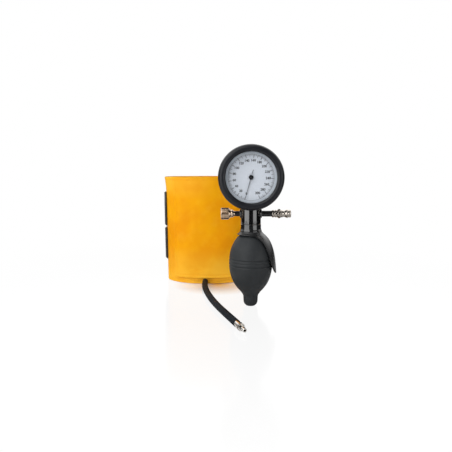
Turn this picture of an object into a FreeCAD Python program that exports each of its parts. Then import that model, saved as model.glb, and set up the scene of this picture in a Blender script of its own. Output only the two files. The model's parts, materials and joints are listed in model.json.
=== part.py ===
import FreeCAD, Part
import math
import os

import Sketcher
from FreeCAD import Placement, Rotation, Vector

# One-hand aneroid sphygmomanometer: a hand unit (gauge, neck, release valve, hose
# connector, hand guard and bulb) standing in front of its wrapped arm cuff, whose hose
# lies on the surface. Millimetres and degrees, +Z up, the dial faces -Y, and the origin
# is under the middle of the whole on the surface it stands on.

doc = FreeCAD.newDocument("Sphygmomanometer")
sheet = doc.addObject("Spreadsheet::Sheet", "Dimensions")

DRIVING = {
    # where the pieces stand: the unit's axis against the centre of the cuff
    "unit_to_cuff_across": 53.8,
    "unit_to_cuff_deep": 145.0,
    # rubber shock ring around the gauge
    "ring_wall": 5.75,
    "ring_depth": 26.0,
    "ring_rounding": 3.4,
    "ring_overlap": 2.6,
    "ring_lip": 3.0,
    # gauge case and what is stacked in its mouth
    "gauge_clearance": 4.25,
    "neck_setback": 18.0,
    "case_radius": 31.0,
    "case_wall": 3.0,
    "case_floor": 2.0,
    "mouth_wall": 1.5,
    "bezel_width": 1.1,
    "bezel_depth": 1.4,
    "lens_thickness": 2.0,
    "spacer_depth": 3.4,
    "dial_thickness": 0.6,
    "dial_hole_radius": 1.5,
    # pointer and its arbor
    "pointer_length": 26.5,
    "pointer_tail": 7.5,
    "pointer_width": 1.6,
    "pointer_thickness": 0.3,
    "pointer_lift": 1.5,
    "pointer_hub_radius": 2.6,
    "pointer_hub_depth": 1.5,
    "zero_angle": 15.5,
    "arbor_radius": 0.45,
    "pivot_play": 0.03,
    # movement
    "plate_setback": 1.6,
    "plate_thickness": 1.0,
    "plate_gap": 7.0,
    "plate_clearance": 2.4,
    "pillar_radius": 1.2,
    "pillar_circle": 18.0,
    "post_radius": 1.5,
    "post_inset": 1.8,
    "screw_head_radius": 2.0,
    "screw_head_depth": 0.8,
    "pinion_root_radius": 1.5,
    "tooth_depth": 0.4,
    "gear_thickness": 1.6,
    "gear_setback": 2.4,
    "pinion_teeth": 12,
    "sector_root_radius": 15.5,
    "sector_teeth": 14,
    "sector_span": 64.0,
    "mesh_gap": 0.1,
    "sector_shaft_radius": 0.6,
    "sector_travel": 40.25,
    "sector_bearing": 203.5,
    "sector_tail_length": 4.6,
    "sector_tail_width": 1.0,
    "rocker_drop": 4.6,
    "rocker_radius": 0.7,
    "rocker_setback": 1.4,
    "rocker_reach": 7.4,
    "rocker_arm": 8.0,
    "rocker_gap": 0.3,
    "rocker_to_capsule": 2.6,
    "hairspring_radius": 1.0,
    "hairspring_growth": 0.8,
    "hairspring_turns": 4.0,
    "hairspring_wire": 0.1,
    # capsule
    "capsule_clearance": 10.0,
    "capsule_depth": 4.0,
    "capsule_boss_radius": 4.0,
    "capsule_boss_depth": 1.0,
    "capsule_head_radius": 0.8,
    "capsule_head_depth": 1.2,
    "inlet_radius": 1.5,
    # neck and its fittings
    "neck_radius": 11.45,
    "parting_height": 92.4,
    "fitting_rise": 11.6,
    "air_bore_radius": 2.0,
    "thread_radius": 5.0,
    "thread_length": 6.0,
    "fitting_engagement": 3.0,
    "neck_screw_radius": 1.25,
    "neck_screw_spacing": 6.0,
    "neck_screw_length": 6.5,
    "neck_screw_head_depth": 1.4,
    # spigot that carries the guard and the bulb
    "journal_radius": 7.0,
    "guard_play": 0.05,
    "guard_end_play": 0.1,
    "flange_radius": 10.0,
    "flange_thickness": 2.0,
    "barb_radius": 6.5,
    "barb_length": 16.2,
    "valve_chamber_radius": 3.6,
    "valve_chamber_height": 5.0,
    "check_seat_height": 3.0,
    "check_hole_radius": 1.2,
    "check_disc_radius": 2.6,
    "check_disc_thickness": 0.6,
    "check_disc_rest": 0.1,
    # hand guard
    "collar_length": 9.8,
    "collar_flare": 1.15,
    "skirt_flare": 2.3,
    "skirt_gap": 0.3,
    "guard_gap": 1.2,
    "guard_wall": 1.9,
    "guard_half_width": 17.5,
    "guard_tip_half_width": 15.5,
    "guard_shoulder_height": 58.0,
    "guard_tip_shoulder_height": 48.0,
    "guard_tip_height": 37.5,
    "guard_tip_flare": 1.85,
    # rubber bulb
    "bulb_top_radius": 12.6,
    "bulb_equator_height": 48.0,
    "bulb_equator_radius": 24.3,
    "bulb_foot_radius": 10.5,
    "bulb_foot_height": 15.5,
    "bulb_wall": 2.4,
    "stub_radius": 8.15,
    "stub_height": 12.0,
    "stub_rounding": 2.8,
    "intake_radius": 4.0,
    "intake_floor": 3.0,
    "intake_height": 14.0,
    "intake_bore_radius": 1.5,
    "intake_chamber_radius": 3.1,
    "intake_chamber_height": 4.0,
    "intake_retainer_height": 2.0,
    "filter_thickness": 0.6,
    # release valve, measured to the left of the unit's axis
    "stem_radius": 2.95,
    "stem_reach": 17.7,
    "seat_hole_radius": 0.6,
    "seat_length": 3.0,
    "packing_radius": 1.65,
    "packing_length": 5.0,
    "knob_bearing_radius": 1.9,
    "knob_bearing_length": 5.3,
    "knob_play": 0.05,
    "needle_radius": 1.0,
    "needle_play": 0.05,
    "needle_tip_radius": 0.4,
    "needle_tip_length": 1.0,
    "needle_tip_entry": 0.2,
    "needle_end_room": 2.0,
    "knob_taper_length": 6.65,
    "knob_collar_radius": 5.35,
    "knob_radius": 6.65,
    "knob_length": 9.3,
    "knob_chamfer": 0.6,
    "knob_end_wall": 3.7,
    "knurl_grooves": 28,
    "knurl_depth": 0.45,
    "packing_ring_wire": 0.31,
    "bleed_radius": 0.5,
    # hose connector of the unit, measured to the right of its axis
    "arm_radius": 3.3,
    "arm_bore_radius": 1.5,
    "arm_reach": 23.7,
    "arm_spigot_radius": 2.4,
    "arm_spigot_length": 4.3,
    "connector_radius": 4.25,
    "connector_length": 6.5,
    "lock_bearing_radius": 3.6,
    "lock_bearing_length": 6.8,
    "lock_ring_radius": 5.2,
    "lock_ring_length": 3.3,
    "lock_ring_play": 0.05,
    "lock_ring_chamfer": 0.5,
    "socket_radius": 4.35,
    "socket_length": 11.45,
    "socket_bead_radius": 4.85,
    "socket_bead_length": 5.2,
    "socket_mouth_radius": 4.2,
    "socket_bore_radius": 2.1,
    "seal_thickness": 1.0,
    # arm cuff: an oval of four arcs in plan, sizes of its inner turn's outer face
    "cuff_half_width": 57.5,
    "cuff_half_depth": 38.7,
    "cuff_end_radius": 30.0,
    "cuff_height": 143.0,
    "lining_thickness": 1.0,
    "bladder_thickness": 3.0,
    "cover_thickness": 2.0,
    "bladder_foot": 12.0,
    "bladder_height": 118.0,
    "bladder_edge": 12.0,
    "loop_thickness": 0.8,
    "flap_thickness": 2.5,
    "flap_foot": 8.2,
    "flap_edge": 44.0,
    "flap_root": 20.0,
    "hook_thickness": 3.2,
    "hook_front": 10.0,
    "hook_back": 20.0,
    "upper_hook_foot": 75.2,
    "upper_hook_height": 46.8,
    "lower_hook_foot": 29.6,
    "lower_hook_height": 43.3,
    # hose and what is on its ends
    "hose_radius": 3.75,
    "hose_lift": 4.0,
    "hose_offset": 1.7,
    "port_bore_radius": 0.9,
    "port_radius": 1.6,
    "eyelet_radius": 3.6,
    "eyelet_thickness": 0.6,
    "plug_radius": 3.4,
    "plug_length": 8.0,
    "plug_bearing_radius": 2.8,
    "plug_bearing_length": 4.4,
    "nut_radius": 3.85,
    "nut_length": 4.2,
    "nut_play": 0.05,
    "nut_grooves": 18,
    "nut_groove_depth": 0.35,
    "plug_collar_length": 1.6,
    "pin_radius": 2.05,
    "pin_chamfer": 0.4,
    "pin_length": 9.0,
    "plug_bore_radius": 1.1,
}

# The hose's route on the surface, from the cuff's eyelet to its plug: (x, y).
HOSE_ROUTE = [
    (0.0, 0.0),
    (0.0, -24.0),
    (4.5, -60.0),
    (12.5, -101.0),
    (23.5, -142.0),
    (38.5, -190.0),
]

# Shares of a size that give a small form its proportions.
POINTER_TAIL_SHARE = 1.3
POINTER_TIP_SHARE = 0.3
TOOTH_ROOT_SHARE = 0.45
TOOTH_TIP_SHARE = 0.6
TOOTHED_SHARE = 0.94
WINDOW_NEAR = (0.38, 0.14)
WINDOW_FAR = (0.82, 0.36)
FRONT_PLATE_SHARE = 1.25
ROCKER_ARM_SHARE = 0.8
ROCKER_ARM_ROOM = 1.5
ROCKER_BLOCK_SHARE = 0.72
CAPSULE_WAVES = ((0.35, 1.0), (0.45, 1.4), (0.6, 0.6), (0.75, 1.2), (0.9, 1.8), (1.0, 1.8))
CAPSULE_BACK_SHARE = 0.9
NIPPLE_REACH_SHARE = 0.8
NECK_TOP_SHARE = 0.9
GUARD_WAIST_SHARE = 0.83
GUARD_BEND_SHARE = 0.65
PACKING_PINCH = 1.06
GROOVE_SHARE = 0.9
BEAD_LAND_SHARE = 0.3
HOSE_ARC_SHARE = 0.45


class Size:
    """A number of the sheet, or a formula of such numbers, with its expression."""

    def __init__(self, value, text):
        self.value = float(value)
        self.text = text

    @staticmethod
    def of(item):
        if isinstance(item, Size):
            return item
        return Size(item, "(%r)" % float(item))

    def join(self, sign, other, value):
        return Size(value, "(%s %s %s)" % (self.text, sign, Size.of(other).text))

    def __add__(self, other):
        return self.join("+", other, self.value + Size.of(other).value)

    def __sub__(self, other):
        return self.join("-", other, self.value - Size.of(other).value)

    def __mul__(self, other):
        return self.join("*", other, self.value * Size.of(other).value)

    def __truediv__(self, other):
        return self.join("/", other, self.value / Size.of(other).value)

    def __radd__(self, other):
        return Size.of(other) + self

    def __rsub__(self, other):
        return Size.of(other) - self

    def __rmul__(self, other):
        return Size.of(other) * self

    def __neg__(self):
        return Size(-self.value, "(-%s)" % self.text)

    def root(self):
        return Size(math.sqrt(self.value), "sqrt(%s)" % self.text)

    def cosine(self):
        return Size(math.cos(math.radians(self.value)), "cos(%s)" % self.text)

    def sine(self):
        return Size(math.sin(math.radians(self.value)), "sin(%s)" % self.text)


class Sizes:
    """The driving dimensions by name."""


def fill_sheet():
    sizes = Sizes()
    for row, (name, value) in enumerate(DRIVING.items(), 1):
        sheet.set("A%d" % row, name)
        sheet.set("B%d" % row, repr(value))
        sheet.setAlias("B%d" % row, name)
        setattr(sizes, name, Size(value, "Dimensions." + name))
    doc.recompute()
    return sizes


D = fill_sheet()
ZERO = Size(0, "0")
OVERSHOOT = Size(1, "1")

UP = Rotation()
BACK = Rotation(Vector(1, 0, 0), -90)
RIGHT = Rotation(Vector(0, 1, 0), 90)
LEFT = Rotation(Vector(0, 1, 0), -90)

nodes = []


# ---- places -------------------------------------------------------------------------

connector_reach = D.arm_reach + D.connector_length + D.lock_ring_length + D.socket_length
unit_x = (D.unit_to_cuff_across + D.cuff_half_width + D.hook_thickness - connector_reach) / 2
unit_y = (D.bulb_equator_radius - D.unit_to_cuff_deep - D.cuff_half_depth) / 2
cuff_x = unit_x - D.unit_to_cuff_across
cuff_y = unit_y + D.unit_to_cuff_deep
gauge_front = unit_y - D.neck_setback

# heights and radii of the gauge
ring_radius = D.case_radius + D.ring_wall
ring_opening_radius = D.case_radius - D.ring_overlap
fitting_height = D.parting_height + D.fitting_rise
gauge_height = fitting_height + D.gauge_clearance + ring_radius

# depths inside the gauge, from its front
lens_depth = D.ring_lip + D.bezel_depth
spacer_start = lens_depth + D.lens_thickness
dial_depth = spacer_start + D.spacer_depth
seat_depth = dial_depth + D.dial_thickness
front_plate = seat_depth + D.plate_setback
front_plate_back = front_plate + D.plate_thickness
rear_plate = front_plate_back + D.plate_gap
rear_plate_back = rear_plate + D.plate_thickness
rocker_depth = rear_plate_back + D.rocker_setback
capsule_front = rocker_depth + D.rocker_to_capsule
capsule_back = capsule_front + D.capsule_depth
case_inside = capsule_back + D.capsule_boss_depth
case_depth = case_inside + D.case_floor
pointer_depth = dial_depth - D.pointer_lift
hub_depth = pointer_depth - (D.pointer_hub_depth - D.pointer_thickness) / 2
case_bore = D.case_radius - D.case_wall
mouth_radius = D.case_radius - D.mouth_wall
plate_radius = case_bore - D.plate_clearance
post_circle = plate_radius - D.post_inset
capsule_radius = case_bore - D.capsule_clearance
sector_circle = D.pinion_root_radius + D.sector_root_radius + 2 * D.tooth_depth + D.mesh_gap
sector_x = sector_circle * D.sector_bearing.cosine()
sector_z = sector_circle * D.sector_bearing.sine()

# where the hose leaves the cuff
hose_x = cuff_x - D.hose_offset
hose_y = cuff_y - D.cuff_half_depth - D.eyelet_thickness

# heights in the unit
flange_top = D.parting_height - D.collar_length - 2 * D.guard_end_play
flange_foot = flange_top - D.flange_thickness
barb_foot = flange_foot - D.barb_length
bulb_top = flange_foot


# ---- helpers ------------------------------------------------------------------------

def bind(item, prop, size):
    item.setExpression(prop, Size.of(size).text)


def place(item, spot, turn=UP):
    item.Placement = Placement(Vector(*[Size.of(part).value for part in spot]), turn)
    for axis, part in zip("xyz", spot):
        bind(item, ".Placement.Base." + axis, part)


def in_unit(x, y, z):
    return (unit_x + x, unit_y + y, Size.of(z))


def in_gauge(x, depth, z):
    return (unit_x + x, gauge_front + depth, gauge_height + z)


def new_body(label):
    body = doc.addObject("PartDesign::Body", label + "_body")
    body.Label = label
    return body


def new_sketch(body, role):
    sketch = body.newObject("Sketcher::SketchObject", body.Label + "_outline")
    plane = [item for item in body.Origin.OriginFeatures if item.Role == role][0]
    sketch.AttachmentSupport = [(plane, "")]
    sketch.MapMode = "FlatFace"
    return sketch


def constrain(sketch, size, *what):
    index = sketch.addConstraint(Sketcher.Constraint(*what, size.value))
    sketch.setExpression("Constraints[%d]" % index, size.text)


def edge_geometry(start, end, radius):
    """A straight edge, or an arc: left-hand turns have a positive radius."""
    if radius is None:
        return Part.LineSegment(start, end), 1, 2
    size = abs(radius.value)
    chord = end - start
    middle = (start + end) * 0.5
    rise = math.sqrt(max(size * size - chord.Length ** 2 / 4, 0.0))
    side = Vector(-chord.y, chord.x, 0).normalize()
    centre = middle + side * (rise if radius.value > 0 else -rise)
    circle = Part.Circle(centre, Vector(0, 0, 1), size)
    first, last = (start, end) if radius.value > 0 else (end, start)
    angles = [math.atan2(spot.y - centre.y, spot.x - centre.x) for spot in (first, last)]
    if angles[1] < angles[0]:
        angles[1] += 2 * math.pi
    arc = Part.ArcOfCircle(circle, *angles)
    return (arc, 1, 2) if radius.value > 0 else (arc, 2, 1)


def outline(sketch, corners):
    """A closed outline. A corner is (u, v), or (u, v, radius) where an arc leads to it."""
    spots = [Vector(Size.of(c[0]).value, Size.of(c[1]).value, 0) for c in corners]
    edges = []
    for number, corner in enumerate(corners):
        radius = corner[2] if len(corner) > 2 else None
        shape, first, last = edge_geometry(spots[number - 1], spots[number], radius)
        edges.append((sketch.addGeometry(shape, False), first, last, radius))
    for number, (edge, first, last, radius) in enumerate(edges):
        following = edges[(number + 1) % len(edges)]
        sketch.addConstraint(
            Sketcher.Constraint("Coincident", edge, last, following[0], following[1]))
        constrain(sketch, Size.of(corners[number][0]), "DistanceX", edge, last)
        constrain(sketch, Size.of(corners[number][1]), "DistanceY", edge, last)
        if radius is not None:
            length = radius if radius.value > 0 else -radius
            constrain(sketch, length, "Radius", edge)


def circle(sketch, x, y, radius):
    spot = Vector(Size.of(x).value, Size.of(y).value, 0)
    edge = sketch.addGeometry(Part.Circle(spot, Vector(0, 0, 1), radius.value), False)
    constrain(sketch, Size.of(x), "DistanceX", edge, 3)
    constrain(sketch, Size.of(y), "DistanceY", edge, 3)
    constrain(sketch, radius, "Radius", edge)


def turn_sketch(sketch, angle):
    """Turn a sketch in its own plane."""
    sketch.AttachmentOffset = Placement(Vector(), Rotation(Vector(0, 0, 1), angle.value))
    bind(sketch, ".AttachmentOffset.Rotation.Angle", angle)


def revolve(body, corners, angle=360.0):
    """Turn an outline of (radius, height) about the body's Z axis."""
    sketch = new_sketch(body, "XZ_Plane")
    outline(sketch, corners)
    feature = body.newObject("PartDesign::Revolution", body.Label + "_turned")
    feature.Profile = sketch
    feature.ReferenceAxis = (sketch, ["V_Axis"])
    feature.Angle = angle
    feature.Midplane = angle < 360.0
    return feature


def pad(body, draw, length, both_ways=False):
    """Raise what draw puts on the body's XY plane."""
    sketch = new_sketch(body, "XY_Plane")
    draw(sketch)
    feature = body.newObject("PartDesign::Pad", body.Label + "_raised")
    feature.Profile = sketch
    bind(feature, "Length", length)
    feature.Midplane = both_ways
    return feature, sketch


def pocket_through(body, role, draw):
    """Cut what draw puts on a plane right through, both ways."""
    sketch = new_sketch(body, role)
    draw(sketch)
    feature = body.newObject("PartDesign::Pocket", body.Label + "_cut")
    feature.Profile = sketch
    feature.Type = 1
    feature.Midplane = True
    return feature, sketch


def around(body, feature, sketch, count, angle=None):
    """Repeat a feature about the normal of its sketch."""
    pattern = body.newObject("PartDesign::PolarPattern", body.Label + "_pattern")
    pattern.Originals = [feature]
    pattern.Axis = (sketch, ["N_Axis"])
    if angle is None:
        pattern.Angle = 360.0
    else:
        bind(pattern, "Angle", angle)
    bind(pattern, "Occurrences", count)
    body.Tip = pattern


def turned(label, corners, spot, turn=UP):
    """A sub-part turned about its own axis."""
    body = new_body(label)
    revolve(body, corners)
    place(body, spot, turn)
    nodes.append(body)
    return body


def cylinder(name, radius, height, spot, turn=UP):
    item = doc.addObject("Part::Cylinder", name)
    bind(item, "Radius", radius)
    bind(item, "Height", height)
    place(item, spot, turn)
    return item


def box(name, sizes, spot):
    item = doc.addObject("Part::Box", name)
    for prop, size in zip(("Length", "Width", "Height"), sizes):
        bind(item, prop, size)
    place(item, spot)
    return item


def fuse(name, items):
    result = doc.addObject("Part::MultiFuse", name)
    result.Shapes = items
    return result


def cut(name, base, tools):
    result = doc.addObject("Part::Cut", name)
    result.Base = base
    result.Tool = tools[0] if len(tools) == 1 else fuse(name + "_tools", tools)
    return result


def group(name, items):
    """Loose copies of one fastener or spacer, kept together as separate solids."""
    result = doc.addObject("Part::Compound", name)
    result.Links = items
    return result


def node(item, label):
    item.Label = label
    nodes.append(item)
    return item


def polar(circle_radius, angle):
    """A place on a circle about the gauge's axis, as (x, z)."""
    return (circle_radius * math.cos(math.radians(angle)),
            circle_radius * math.sin(math.radians(angle)))


# ---- gauge case, lens and dial ------------------------------------------------------

def make_shock_ring():
    lip_back = D.ring_lip
    edge = ring_radius
    rounding = D.ring_rounding
    bevel = D.ring_lip / 2
    body = new_body("shock_ring")
    revolve(body, [
        (ring_opening_radius, lip_back),
        (ring_opening_radius, lip_back - bevel / 2),
        (ring_opening_radius + bevel, ZERO),
        (edge - rounding, ZERO),
        (edge, rounding, rounding),
        (edge, D.ring_depth - rounding),
        (edge - rounding, D.ring_depth, rounding),
        (D.case_radius, D.ring_depth),
        (D.case_radius, lip_back),
    ])
    # the neck passes through the ring's underside; this plane's pocket runs down
    sketch = new_sketch(body, "XZ_Plane")
    circle(sketch, ZERO, D.neck_setback, D.neck_radius)
    hole = body.newObject("PartDesign::Pocket", "shock_ring_neck_hole")
    hole.Profile = sketch
    hole.Type = 1
    place(body, in_gauge(ZERO, ZERO, ZERO), BACK)
    nodes.append(body)


def make_gauge_case():
    edge = D.case_wall
    shell = new_body("gauge_case_shell")
    revolve(shell, [
        (ZERO, case_inside),
        (case_bore, case_inside),
        (case_bore, seat_depth),
        (mouth_radius, seat_depth),
        (mouth_radius, D.ring_lip),
        (D.case_radius, D.ring_lip),
        (D.case_radius, case_depth - edge),
        (D.case_radius - edge, case_depth, edge),
        (ZERO, case_depth),
    ])
    place(shell, in_gauge(ZERO, ZERO, ZERO), BACK)
    depth = inlet_depth - D.neck_setback
    inlet = cylinder("case_inlet_hole", D.inlet_radius, D.case_radius,
                     in_unit(ZERO, depth, gauge_height - D.case_radius - OVERSHOOT))
    holes = [inlet]
    for side in (-1, 1):
        holes.append(cylinder("case_screw_hole", D.neck_screw_radius, 2 * D.case_wall,
                              in_unit(side * D.neck_screw_spacing, ZERO,
                                      neck_screw_seat - 2 * D.case_wall)))
    node(cut("gauge_case", shell, holes), "gauge_case")


def ring_between(label, inner, outer, start, depth):
    return turned(label, [
        (inner, start),
        (outer, start),
        (outer, start + depth),
        (inner, start + depth),
    ], in_gauge(ZERO, ZERO, ZERO), BACK)


def disc(label, radius, start, depth):
    return turned(label, [
        (ZERO, start),
        (radius, start),
        (radius, start + depth),
        (ZERO, start + depth),
    ], in_gauge(ZERO, ZERO, ZERO), BACK)


# ---- pointer ------------------------------------------------------------------------

def make_pointer():
    half = D.pointer_width / 2

    def draw(sketch):
        outline(sketch, [
            (-half * POINTER_TAIL_SHARE, -D.pointer_tail),
            (half * POINTER_TAIL_SHARE, -D.pointer_tail),
            (half, ZERO),
            (half * POINTER_TIP_SHARE, D.pointer_length),
            (-half * POINTER_TIP_SHARE, D.pointer_length),
            (-half, ZERO),
        ])
        circle(sketch, ZERO, ZERO, D.arbor_radius)
        turn_sketch(sketch, D.zero_angle)

    body = new_body("pointer")
    pad(body, draw, D.pointer_thickness)
    place(body, in_gauge(ZERO, pointer_depth, ZERO), BACK)
    nodes.append(body)


def make_pointer_hub():
    inner = D.arbor_radius
    cap = (D.pointer_hub_depth - D.pointer_thickness) / 2
    turned("pointer_hub", [
        (ZERO, ZERO),
        (D.pointer_hub_radius - cap, ZERO),
        (D.pointer_hub_radius, cap, cap),
        (inner, cap),
        (inner, cap / 2),
        (ZERO, cap / 2),
    ], in_gauge(ZERO, hub_depth, ZERO), BACK)


def toothed(body, root, teeth, span=None):
    """Teeth on the rim of a body: all round, or over a span that +X halves."""
    half = D.tooth_depth * TOOTH_ROOT_SHARE

    def draw(sketch):
        outline(sketch, [
            (root - D.tooth_depth, -half),
            (root + D.tooth_depth, -half * TOOTH_TIP_SHARE),
            (root + D.tooth_depth, half * TOOTH_TIP_SHARE),
            (root - D.tooth_depth, half),
        ])
        if span is not None:
            turn_sketch(sketch, -span / 2)

    tooth, sketch = pad(body, draw, D.gear_thickness)
    around(body, tooth, sketch, teeth, span)


def make_pinion():
    body = new_body("pointer_pinion")

    def draw(sketch):
        circle(sketch, ZERO, ZERO, D.pinion_root_radius)
        circle(sketch, ZERO, ZERO, D.arbor_radius)

    pad(body, draw, D.gear_thickness)
    toothed(body, D.pinion_root_radius, D.pinion_teeth)
    place(body, in_gauge(ZERO, front_plate_back + D.gear_setback, ZERO), BACK)
    nodes.append(body)


def make_arbor():
    start = hub_depth + (D.pointer_hub_depth - D.pointer_thickness) / 4
    node(cylinder("arbor", D.arbor_radius, rear_plate_back - start,
                  in_gauge(ZERO, start, ZERO), BACK), "pointer_arbor")


def make_hairspring():
    path = doc.addObject("Part::Spiral", "hairspring_path")
    bind(path, "Radius", D.hairspring_radius)
    bind(path, "Growth", D.hairspring_growth)
    bind(path, "Rotations", D.hairspring_turns)
    depth = rear_plate - D.gear_thickness
    wire = doc.addObject("Part::Circle", "hairspring_section")
    bind(wire, "Radius", D.hairspring_wire)
    place(wire, (D.hairspring_radius, ZERO, ZERO), Rotation(Vector(1, 0, 0), 90))
    spring = doc.addObject("Part::Sweep", "hairspring")
    spring.Sections = [wire]
    spring.Spine = (path, ["Edge%d" % (turn + 1) for turn in range(4)])
    spring.Solid = True
    spring.Frenet = True
    place(spring, in_gauge(ZERO, depth, ZERO), BACK)
    node(spring, "hairspring")


# ---- movement -----------------------------------------------------------------------

PILLAR_ANGLES = (45.0, 130.0, 315.0)
POST_ANGLES = (90.0, 240.0, 330.0)


def at_angles(name, angles, circle_radius, radius, start, depth):
    items = []
    for angle in angles:
        x, z = polar(circle_radius, angle)
        items.append(cylinder(name, radius, depth, in_gauge(x, start, z), BACK))
    return items


def make_plates():
    bores = ((ZERO, ZERO, D.arbor_radius), (sector_x, sector_z, D.sector_shaft_radius))
    front_radius = D.pillar_circle * FRONT_PLATE_SHARE
    for label, start, radius in (("movement_front_plate", front_plate, front_radius),
                                 ("movement_rear_plate", rear_plate, plate_radius)):
        blank = cylinder(label + "_blank", radius, D.plate_thickness,
                         in_gauge(ZERO, start, ZERO), BACK)
        holes = []
        for x, z, bore in bores:
            holes.append(cylinder(label + "_bore", bore + D.pivot_play,
                                  D.plate_thickness + 2 * OVERSHOOT,
                                  in_gauge(x, start - OVERSHOOT, z), BACK))
        if start is rear_plate:
            # slot through which the rocker's arm reaches the sector's tail
            slot = (4 * D.rocker_radius, D.plate_thickness + 2 * OVERSHOOT, 6 * D.rocker_radius)
            holes.append(box("rocker_slot", slot, in_gauge(
                rocker_arm_x - slot[0] / 2, start - OVERSHOOT,
                -D.rocker_drop - slot[2] / 2)))
        node(cut(label, blank, holes), label)


def make_pillars():
    node(group("pillars", at_angles("pillar", PILLAR_ANGLES, D.pillar_circle,
                                    D.pillar_radius, front_plate_back, D.plate_gap)),
         "movement_pillars")
    node(group("posts", at_angles("post", POST_ANGLES, post_circle, D.post_radius,
                                  rear_plate_back, case_inside - rear_plate_back)),
         "movement_posts")
    node(group("movement_screw_group", at_angles(
        "movement_screw", PILLAR_ANGLES, D.pillar_circle, D.screw_head_radius,
        front_plate - D.screw_head_depth, D.screw_head_depth)), "movement_screws")


def make_sector():
    """Toothed sector, drawn with its middle tooth on +X and turned to its place."""
    half = D.sector_span / 2
    root = D.sector_root_radius
    body = new_body("sector_gear")

    def wedge(sketch):
        outline(sketch, [
            (ZERO, ZERO),
            (root * half.cosine(), -root * half.sine()),
            (root * half.cosine(), root * half.sine(), root),
        ])

    def hub(sketch):
        circle(sketch, ZERO, ZERO, 4 * D.sector_shaft_radius)

    def window(sketch):
        outline(sketch, [
            (root * WINDOW_NEAR[0], -root * WINDOW_NEAR[1]),
            (root * WINDOW_FAR[0], -root * WINDOW_FAR[1]),
            (root * WINDOW_FAR[0], root * WINDOW_FAR[1]),
            (root * WINDOW_NEAR[0], root * WINDOW_NEAR[1]),
        ])

    def tail(sketch):
        width = D.sector_tail_width / 2
        outline(sketch, [
            (ZERO, -width),
            (D.sector_tail_length, -width),
            (D.sector_tail_length, width),
            (ZERO, width),
        ])
        turn_sketch(sketch, D.sector_bearing)

    def bore(sketch):
        circle(sketch, ZERO, ZERO, D.sector_shaft_radius)

    pad(body, wedge, D.gear_thickness)
    pad(body, hub, D.gear_thickness)
    pad(body, tail, D.gear_thickness)
    pocket_through(body, "XY_Plane", window)
    pocket_through(body, "XY_Plane", bore)

    toothed(body, root, D.sector_teeth, D.sector_span * TOOTHED_SHARE)
    # at rest the middle tooth stands half of the sector's travel short of the arbor
    rest = 180 - D.sector_bearing + D.sector_travel / 2
    turn = BACK * Rotation(Vector(0, 0, 1), rest.value)
    place(body, in_gauge(sector_x, front_plate_back + D.gear_setback, sector_z), turn)
    nodes.append(body)
    node(cylinder("sector_axle", D.sector_shaft_radius, rear_plate_back - front_plate,
                  in_gauge(sector_x, front_plate, sector_z), BACK), "sector_shaft")


def make_rocker():
    """Cross shaft behind the rear plate: one arm on the capsule, one to the sector."""
    length = D.rocker_reach - rocker_arm_x + D.rocker_radius
    shaft = cylinder("rocker_cross", D.rocker_radius, length,
                     in_gauge(rocker_arm_x - D.rocker_radius, rocker_depth, -D.rocker_drop),
                     RIGHT)
    lift_start = rocker_depth + D.rocker_radius / 2
    lift_end = capsule_front - D.capsule_head_depth - D.rocker_gap
    lift_arm = box("rocker_lift_arm", (2 * D.rocker_radius, lift_end - lift_start,
                                       D.rocker_drop + D.rocker_radius),
                   in_gauge(-D.rocker_radius, lift_start, -D.rocker_drop))
    push_arm = cylinder("rocker_push_arm", rocker_thin, D.rocker_arm,
                        in_gauge(rocker_arm_x, rocker_depth - D.rocker_arm, -D.rocker_drop),
                        BACK)
    node(fuse("rocker", [shaft, lift_arm, push_arm]), "rocker_shaft")

    blocks = []
    for x in (D.rocker_reach, rocker_arm_x * ROCKER_BLOCK_SHARE):
        side = 4 * D.rocker_radius
        block = box("rocker_bearing_block", (D.plate_thickness, rocker_depth - rear_plate_back
                                             + 2 * D.rocker_radius, side),
                    in_gauge(x - D.plate_thickness, rear_plate_back, -D.rocker_drop - side / 2))
        bore = cylinder("rocker_bearing_bore", D.rocker_radius + D.pivot_play,
                        D.plate_thickness + 2 * OVERSHOOT,
                        in_gauge(x - D.plate_thickness - OVERSHOOT, rocker_depth,
                                 -D.rocker_drop), RIGHT)
        blocks.append(cut("rocker_bearing", block, [bore]))
    node(group("rocker_bearing_pair", blocks), "rocker_bearings")


def make_capsule():
    rim = D.capsule_depth / 4
    shell = new_body("capsule_shell")
    waves = [(capsule_radius * out, capsule_front + rim * up) for out, up in CAPSULE_WAVES]
    revolve(shell, [
        (ZERO, capsule_front + rim),
        *waves,
        (capsule_radius, capsule_back - rim),
        (capsule_radius * CAPSULE_BACK_SHARE, capsule_back),
        (D.capsule_boss_radius, capsule_back),
        (D.capsule_boss_radius, case_inside),
        (ZERO, case_inside),
    ])
    place(shell, in_gauge(ZERO, ZERO, ZERO), BACK)
    foot = gauge_height - D.case_radius
    nipple = cylinder("capsule_nipple", D.inlet_radius,
                      D.case_radius - capsule_radius * NIPPLE_REACH_SHARE,
                      in_unit(ZERO, inlet_depth - D.neck_setback, foot))
    node(fuse("pressure_capsule_parts", [shell, nipple]), "pressure_capsule")
    rest = D.capsule_depth / 4
    node(cylinder("capsule_head_disc", D.capsule_head_radius, D.capsule_head_depth + rest,
                  in_gauge(ZERO, capsule_front - D.capsule_head_depth, ZERO), BACK),
         "capsule_head")


# ---- neck ---------------------------------------------------------------------------

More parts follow.
